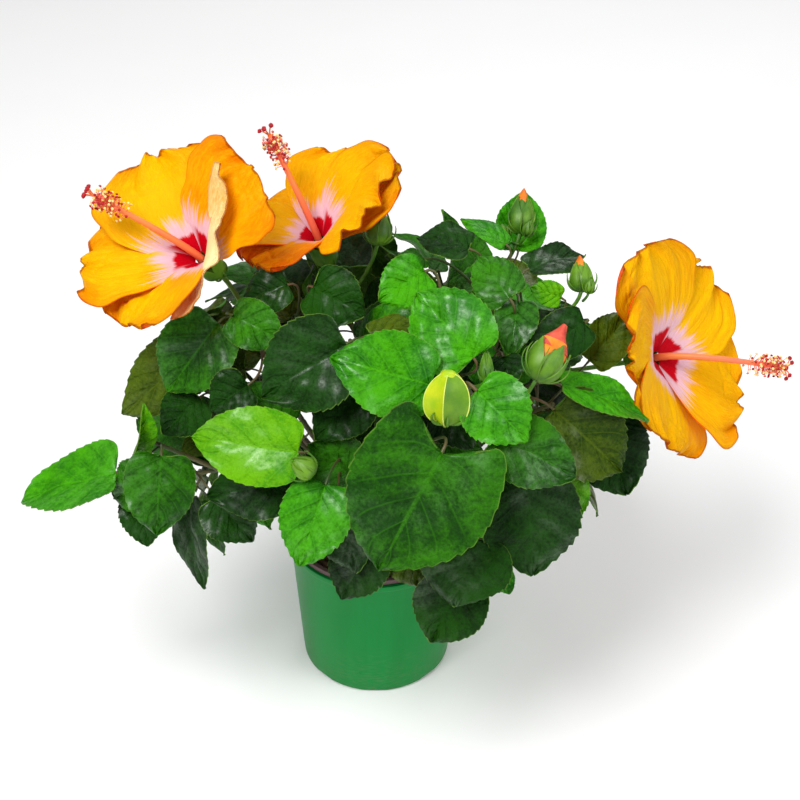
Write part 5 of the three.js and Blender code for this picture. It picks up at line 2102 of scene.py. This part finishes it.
    def build(self, growth: Growth) -> None:
        """Build each bloom's petals, its brush and its green parts."""
        knots = lambda along, angle: 0.12 * np.sin(along * 1.7 + 3 * angle)
        for number, shape in enumerate(growth.blooms):
            name = shape.bloom.name
            random = Seeded(700 + number)
            petals = Shapes("petals_" + name, *PETAL_FINISHES)
            for index, petal in enumerate(shape.bloom.petals):
                middle = self._petal(shape, index, random)
                half = normals_of(middle) * self.thickness / 2
                slot = petal.tone.value
                below = slot if petal.tone is PetalTone.CREAM else len(PetalTone)
                petals.sheet(middle + half, middle - half, slot, below, random())
            petals.make(name, slot="petals")
            brush = Shapes("column_" + name, *COLUMN_FINISHES)
            taper = tapered(self.column_root, self.column_tip)
            brush.tube(shape.column(), taper, 40, 14, relief=knots)
            self._brush(shape, random, brush)
            brush.make(slot="petals")
            green = Shapes("calyx_" + name, CALYX)
            self._calyx(shape, green)
            green.tube(shape.stalk, tapered(1.5, 1.8), 24, 12)
            green.make(slot="foliage")


def bracts(green: Shapes, foot: Points, axis: Points, radius: float, length: float, count: int,
           stout: float = 0.75, curl: float = 0.0) -> None:
    """Add the thin green bracts that stand round the foot of a calyx.

    Args:
        green: The piece that takes them.
        foot: The calyx's foot.
        axis: The way that it points.
        radius: How far out they bow.
        length: How long they are.
        count: How many stand round it.
        stout: Their radius near the foot.
        curl: How far their tips curl back in, as a share of the radius.
    """
    side = unit(np.cross(axis, [0.2, 0.9, 0.31]))
    for angle in around(count):
        out = turned_about(side, axis, angle)
        line = Curve(foot + out * 1.2, foot + out * radius * 1.35 + axis * length * 0.1,
                     foot + out * radius * (1.45 - 0.2 * curl) + axis * length * (0.8 + 0.4 * curl),
                     foot + out * radius * (1.25 - 0.7 * curl) + axis * length)
        green.tube(line, lambda s: stout * (1 - s) ** 0.6 + 0.2 * stout, 9, 7)


@dataclass
class Buds:
    """The buds on their stalks, closed, opening or furled, and a lantern-like spent calyx, in mm.

    HEIGHT and GAPE are how far up its sepals wrap a bud of each form, and how wide they part.
    """

    HEIGHT: ClassVar[Dict[BudForm, float]] = {
        BudForm.CLOSED: 1.0, BudForm.TIPPED: 0.84, BudForm.FURLED: 0.66}
    GAPE: ClassVar[Dict[BudForm, float]] = {BudForm.CLOSED: 0.0, BudForm.TIPPED: 0.1, BudForm.FURLED: 0.3}

    sides: int = 36
    steps: int = 20
    sepals: int = 5

    @staticmethod
    def _egg(s: Points, blunt: float = 0.62) -> Points:
        """The radius of an egg-shaped body, as a share of the widest."""
        return np.sin(np.pi * np.clip(s, 0, 1) ** blunt) ** 0.75

    @staticmethod
    def _placed(bud: Bud, s: Points, angle: Points, radius: Points) -> Points:
        """Points round a bud's line: shares of its length, angles round it, distances from it.

        Args:
            bud: The bud.
            s: Shares of its length.
            angle: Angles in radians.
            radius: Distances in mm.

        Returns:
            The points, with one more axis.
        """
        base, tip = bud.ends
        side = unit(np.cross(bud.axis, [0.9, 0.1, 0.2]))
        return (base + (tip - base) * np.asarray(s)[..., None]
                + side * (radius * np.cos(angle))[..., None]
                + np.cross(bud.axis, side) * (radius * np.sin(angle))[..., None])

    def _body(self, bud: Bud, shape: Relief, start: float, end: float) -> Points:
        """Rings round a bud's line, from one share of its length to another."""
        s, angle = grid(np.linspace(start, end, self.steps), around(self.sides))
        return self._placed(bud, s, angle, bud.radius * shape(s, angle))

    def _sepals(self, bud: Bud, piece: Shapes) -> None:
        """Five pointed sepals that wrap the bud up to a share of its length and gape there."""
        t, u = grid(np.linspace(0, 1, 18), np.linspace(-1, 1, 13))
        height = t * self.HEIGHT[bud.form]
        wide = 1.04 * (1 - smooth(0.35, 1.05, t)) ** 0.7
        swell = self._egg(height) * (1 + 0.1 * (1 - u * u)) + 0.05
        radius = bud.radius * (swell + self.GAPE[bud.form] * t ** 3)
        for i in range(self.sepals):
            angle = (i + 0.5 * u * wide) * math.tau / self.sepals
            over = self._placed(bud, height + 0.01, angle, radius + 0.5 * np.abs(u) ** 6)
            under = self._placed(bud, height + 0.01, angle, radius - 0.4)
            piece.sheet(over, under, GREEN_SLOT, GREEN_SLOT, i / self.sepals)

    def _lantern(self, bud: Bud, piece: Shapes) -> None:
        """Five flat facets between raised pale edges, some of them darker green as painted shade."""
        foot, tip = bud.ends
        line, rows, radius = tip - foot, np.linspace(0, 1, 18), bud.radius
        corners, count = [], self.sepals
        for i in range(count):
            angle = np.array(i * math.tau / count + 0.35)
            out = self._placed(bud, np.array(0.0), angle, np.array(1.0)) - foot
            rise = 0.08 * math.cos(2.4 * i)
            knees = ((1.4, 0.04), (1.32, 0.5 + rise), (1.18, 0.8 + rise), (0.28, 0.92))
            bends = [foot + out * away * radius + line * up for away, up in knees]
            corners.append(Curve(foot + out * 1.5, *bends))
        across = np.linspace(0, 1, 9)[None, :, None]
        for i in range(count):
            first, second = (corners[(i + step) % count].at(rows)[:, None] for step in (0, 1))
            over = first * (1 - across) + second * across
            inward = unit(over.mean((0, 1)) - foot - line * 0.5)
            hollow = np.sin(np.pi * across) * np.sin(np.pi * rows)[:, None, None]
            over = over - inward * (1.6 * hollow)
            # Painted shade: every other facet takes the darker green.
            slot = LIME_SLOT if i % 2 else PAINTED_SHADE_SLOT
            piece.sheet(over, over - inward * 0.5, slot, LIME_SLOT, i / count)
            piece.tube(corners[i], tapered(0.5, 0.3), 18, 7, PALE_SLOT)
        crown = lambda s, a: 0.42 * np.sqrt(np.maximum(0.02, 1 - ((s - 0.86) / 0.1) ** 2))
        piece.rings(self._body(bud, crown, 0.78, 0.95), LIME_SLOT)

    def build(self, growth: Growth) -> None:
        """Build every bud with its stalk."""
        piece = Shapes("buds", *BUD_FINISHES)
        for grown in growth.masses:
            for bud, stalk in zip(grown.mass.buds, grown.bud_stalks):
                piece.tube(stalk, tapered(1.4, 1.3), 14, 8)
                self._form(bud, piece)
                foot = bud.ends[0] + bud.axis
                self._cluster(bud, foot, piece)
                if bud.form is BudForm.FACETED:
                    bracts(piece, foot, bud.axis, bud.radius * 0.85, bud.radius * 0.7, 7, 1.2, 0.6)
                else:
                    bracts(piece, foot, bud.axis, bud.radius * 1.1, bud.radius * 1.7, 7, 0.8)
        piece.make(slot="foliage")

    def _cluster(self, bud: Bud, foot: Points, piece: Shapes) -> None:
        """Small closed buds on short stalks round a bud's foot.

        Args:
            bud: The bud.
            foot: The bud's foot.
            piece: The piece that they join.
        """
        axis, size = bud.axis, bud.radius
        for number in range(bud.cluster):
            out = turned_about(sideways(axis, 0.4), axis, 2.1 * number)
            base = foot + (out * 1.15 - axis * 0.5) * size
            small = Bud(tuple(base), tuple(base + (axis * 1.3 + out * 0.8) * size), size * 0.42)
            stalk = Curve(foot - axis * size, base - axis * 0.3 * size, base + axis)
            piece.tube(stalk, tapered(1.0, 0.8), 8, 7)
            self._form(small, piece)
            way = unit(axis + out * 0.6)
            bracts(piece, base, way, small.radius * 1.2, small.radius * 2.4, 6, 0.5)

    def _form(self, bud: Bud, piece: Shapes) -> None:
        """Build the bud's own body by its form."""
        if bud.form is BudForm.FACETED:
            self._lantern(bud, piece)
            return
        furled = bud.form is BudForm.FURLED
        self._sepals(bud, piece)
        body = lambda s, a: 0.93 * self._egg(s)
        piece.rings(self._body(bud, body, 0.01, 0.75 if furled else 0.9))
        fluted = lambda s, a: 0.1 * np.cos(3 * a + 9 * s)
        if bud.form is not BudForm.CLOSED:
            stout = 0.9 if furled else 0.74
            furl = lambda s, a: stout * self._egg(s * 0.92, 0.8) * (1 + fluted(s, a))
            piece.rings(self._body(bud, furl, 0.3, 0.74 if furled else 1.08), ORANGE_SLOT)
        if furled:
            twist = lambda s, a: (0.92 - 0.8 * smooth(0.5, 1.16, s)) * (1 + 1.4 * fluted(s, a))
            piece.rings(self._body(bud, twist, 0.58, 1.07), PINK_SLOT)


class Studio:
    """The pale floor and the soft lights."""

    FLOOR_SIZE = 12
    SURROUND = 0.3
    MIDDLE = (0.02, 0, 0.24)
    # Name, place in m, size in m and power in W
    LIGHTS = (
        ("key", (-0.7, -1.0, 2.0), 1.1, 45),
        ("fill", (1.6, -0.9, 1.4), 1.4, 17),
        ("back", (0.5, 1.5, 1.9), 1.2, 16),
    )

    def build(self) -> None:
        """Add the floor, three area lights and a pale surround."""
        bpy.ops.object.select_all(action="DESELECT")
        bpy.ops.mesh.primitive_plane_add(size=self.FLOOR_SIZE)
        floor = bpy.context.object
        floor.name = "floor"
        floor.data.materials.append(FLOOR.material())
        for light in self.LIGHTS:
            self._light(*light)
        world = bpy.data.worlds.new("surround")
        bpy.context.scene.world = world
        world.use_nodes = True
        surround = world.node_tree.nodes["Background"]
        surround.inputs[0].default_value = (1, 1, 1, 1)
        surround.inputs[1].default_value = self.SURROUND
        bpy.context.scene.view_settings.view_transform = "Standard"

    def _light(self, name: str, place: Triple, size: float, power: float) -> None:
        """Add one soft light that looks at the shrub.

        Args:
            name: Its name.
            place: Where it stands in m.
            size: Its width in m.
            power: Its power in W.
        """
        bpy.ops.object.light_add(type="AREA", location=place)
        light = bpy.context.object
        light.name = name
        light.data.shape, light.data.size, light.data.energy = "DISK", size, power
        x, y, z = np.array(place) - np.array(self.MIDDLE)
        light.rotation_euler = (math.atan2(math.hypot(x, y), z), 0, math.atan2(y, x) + math.pi / 2)


def main() -> None:
    """Build the scene in order."""
    logging.basicConfig(level=logging.INFO, format="%(message)s")
    bpy.ops.object.select_all(action="DESELECT")
    camera = Camera()
    camera.build()
    Studio().build()
    growth = Growth(camera)
    LOG.info("grown: %d leaves", sum(len(grown.leaves) for grown in growth.masses))
    Pots().build()
    Compost().build()
    Wood().build(growth)
    Foliage().build(growth)
    Blooms().build(growth)
    Buds().build(growth)


if __name__ == "__main__":
    main()
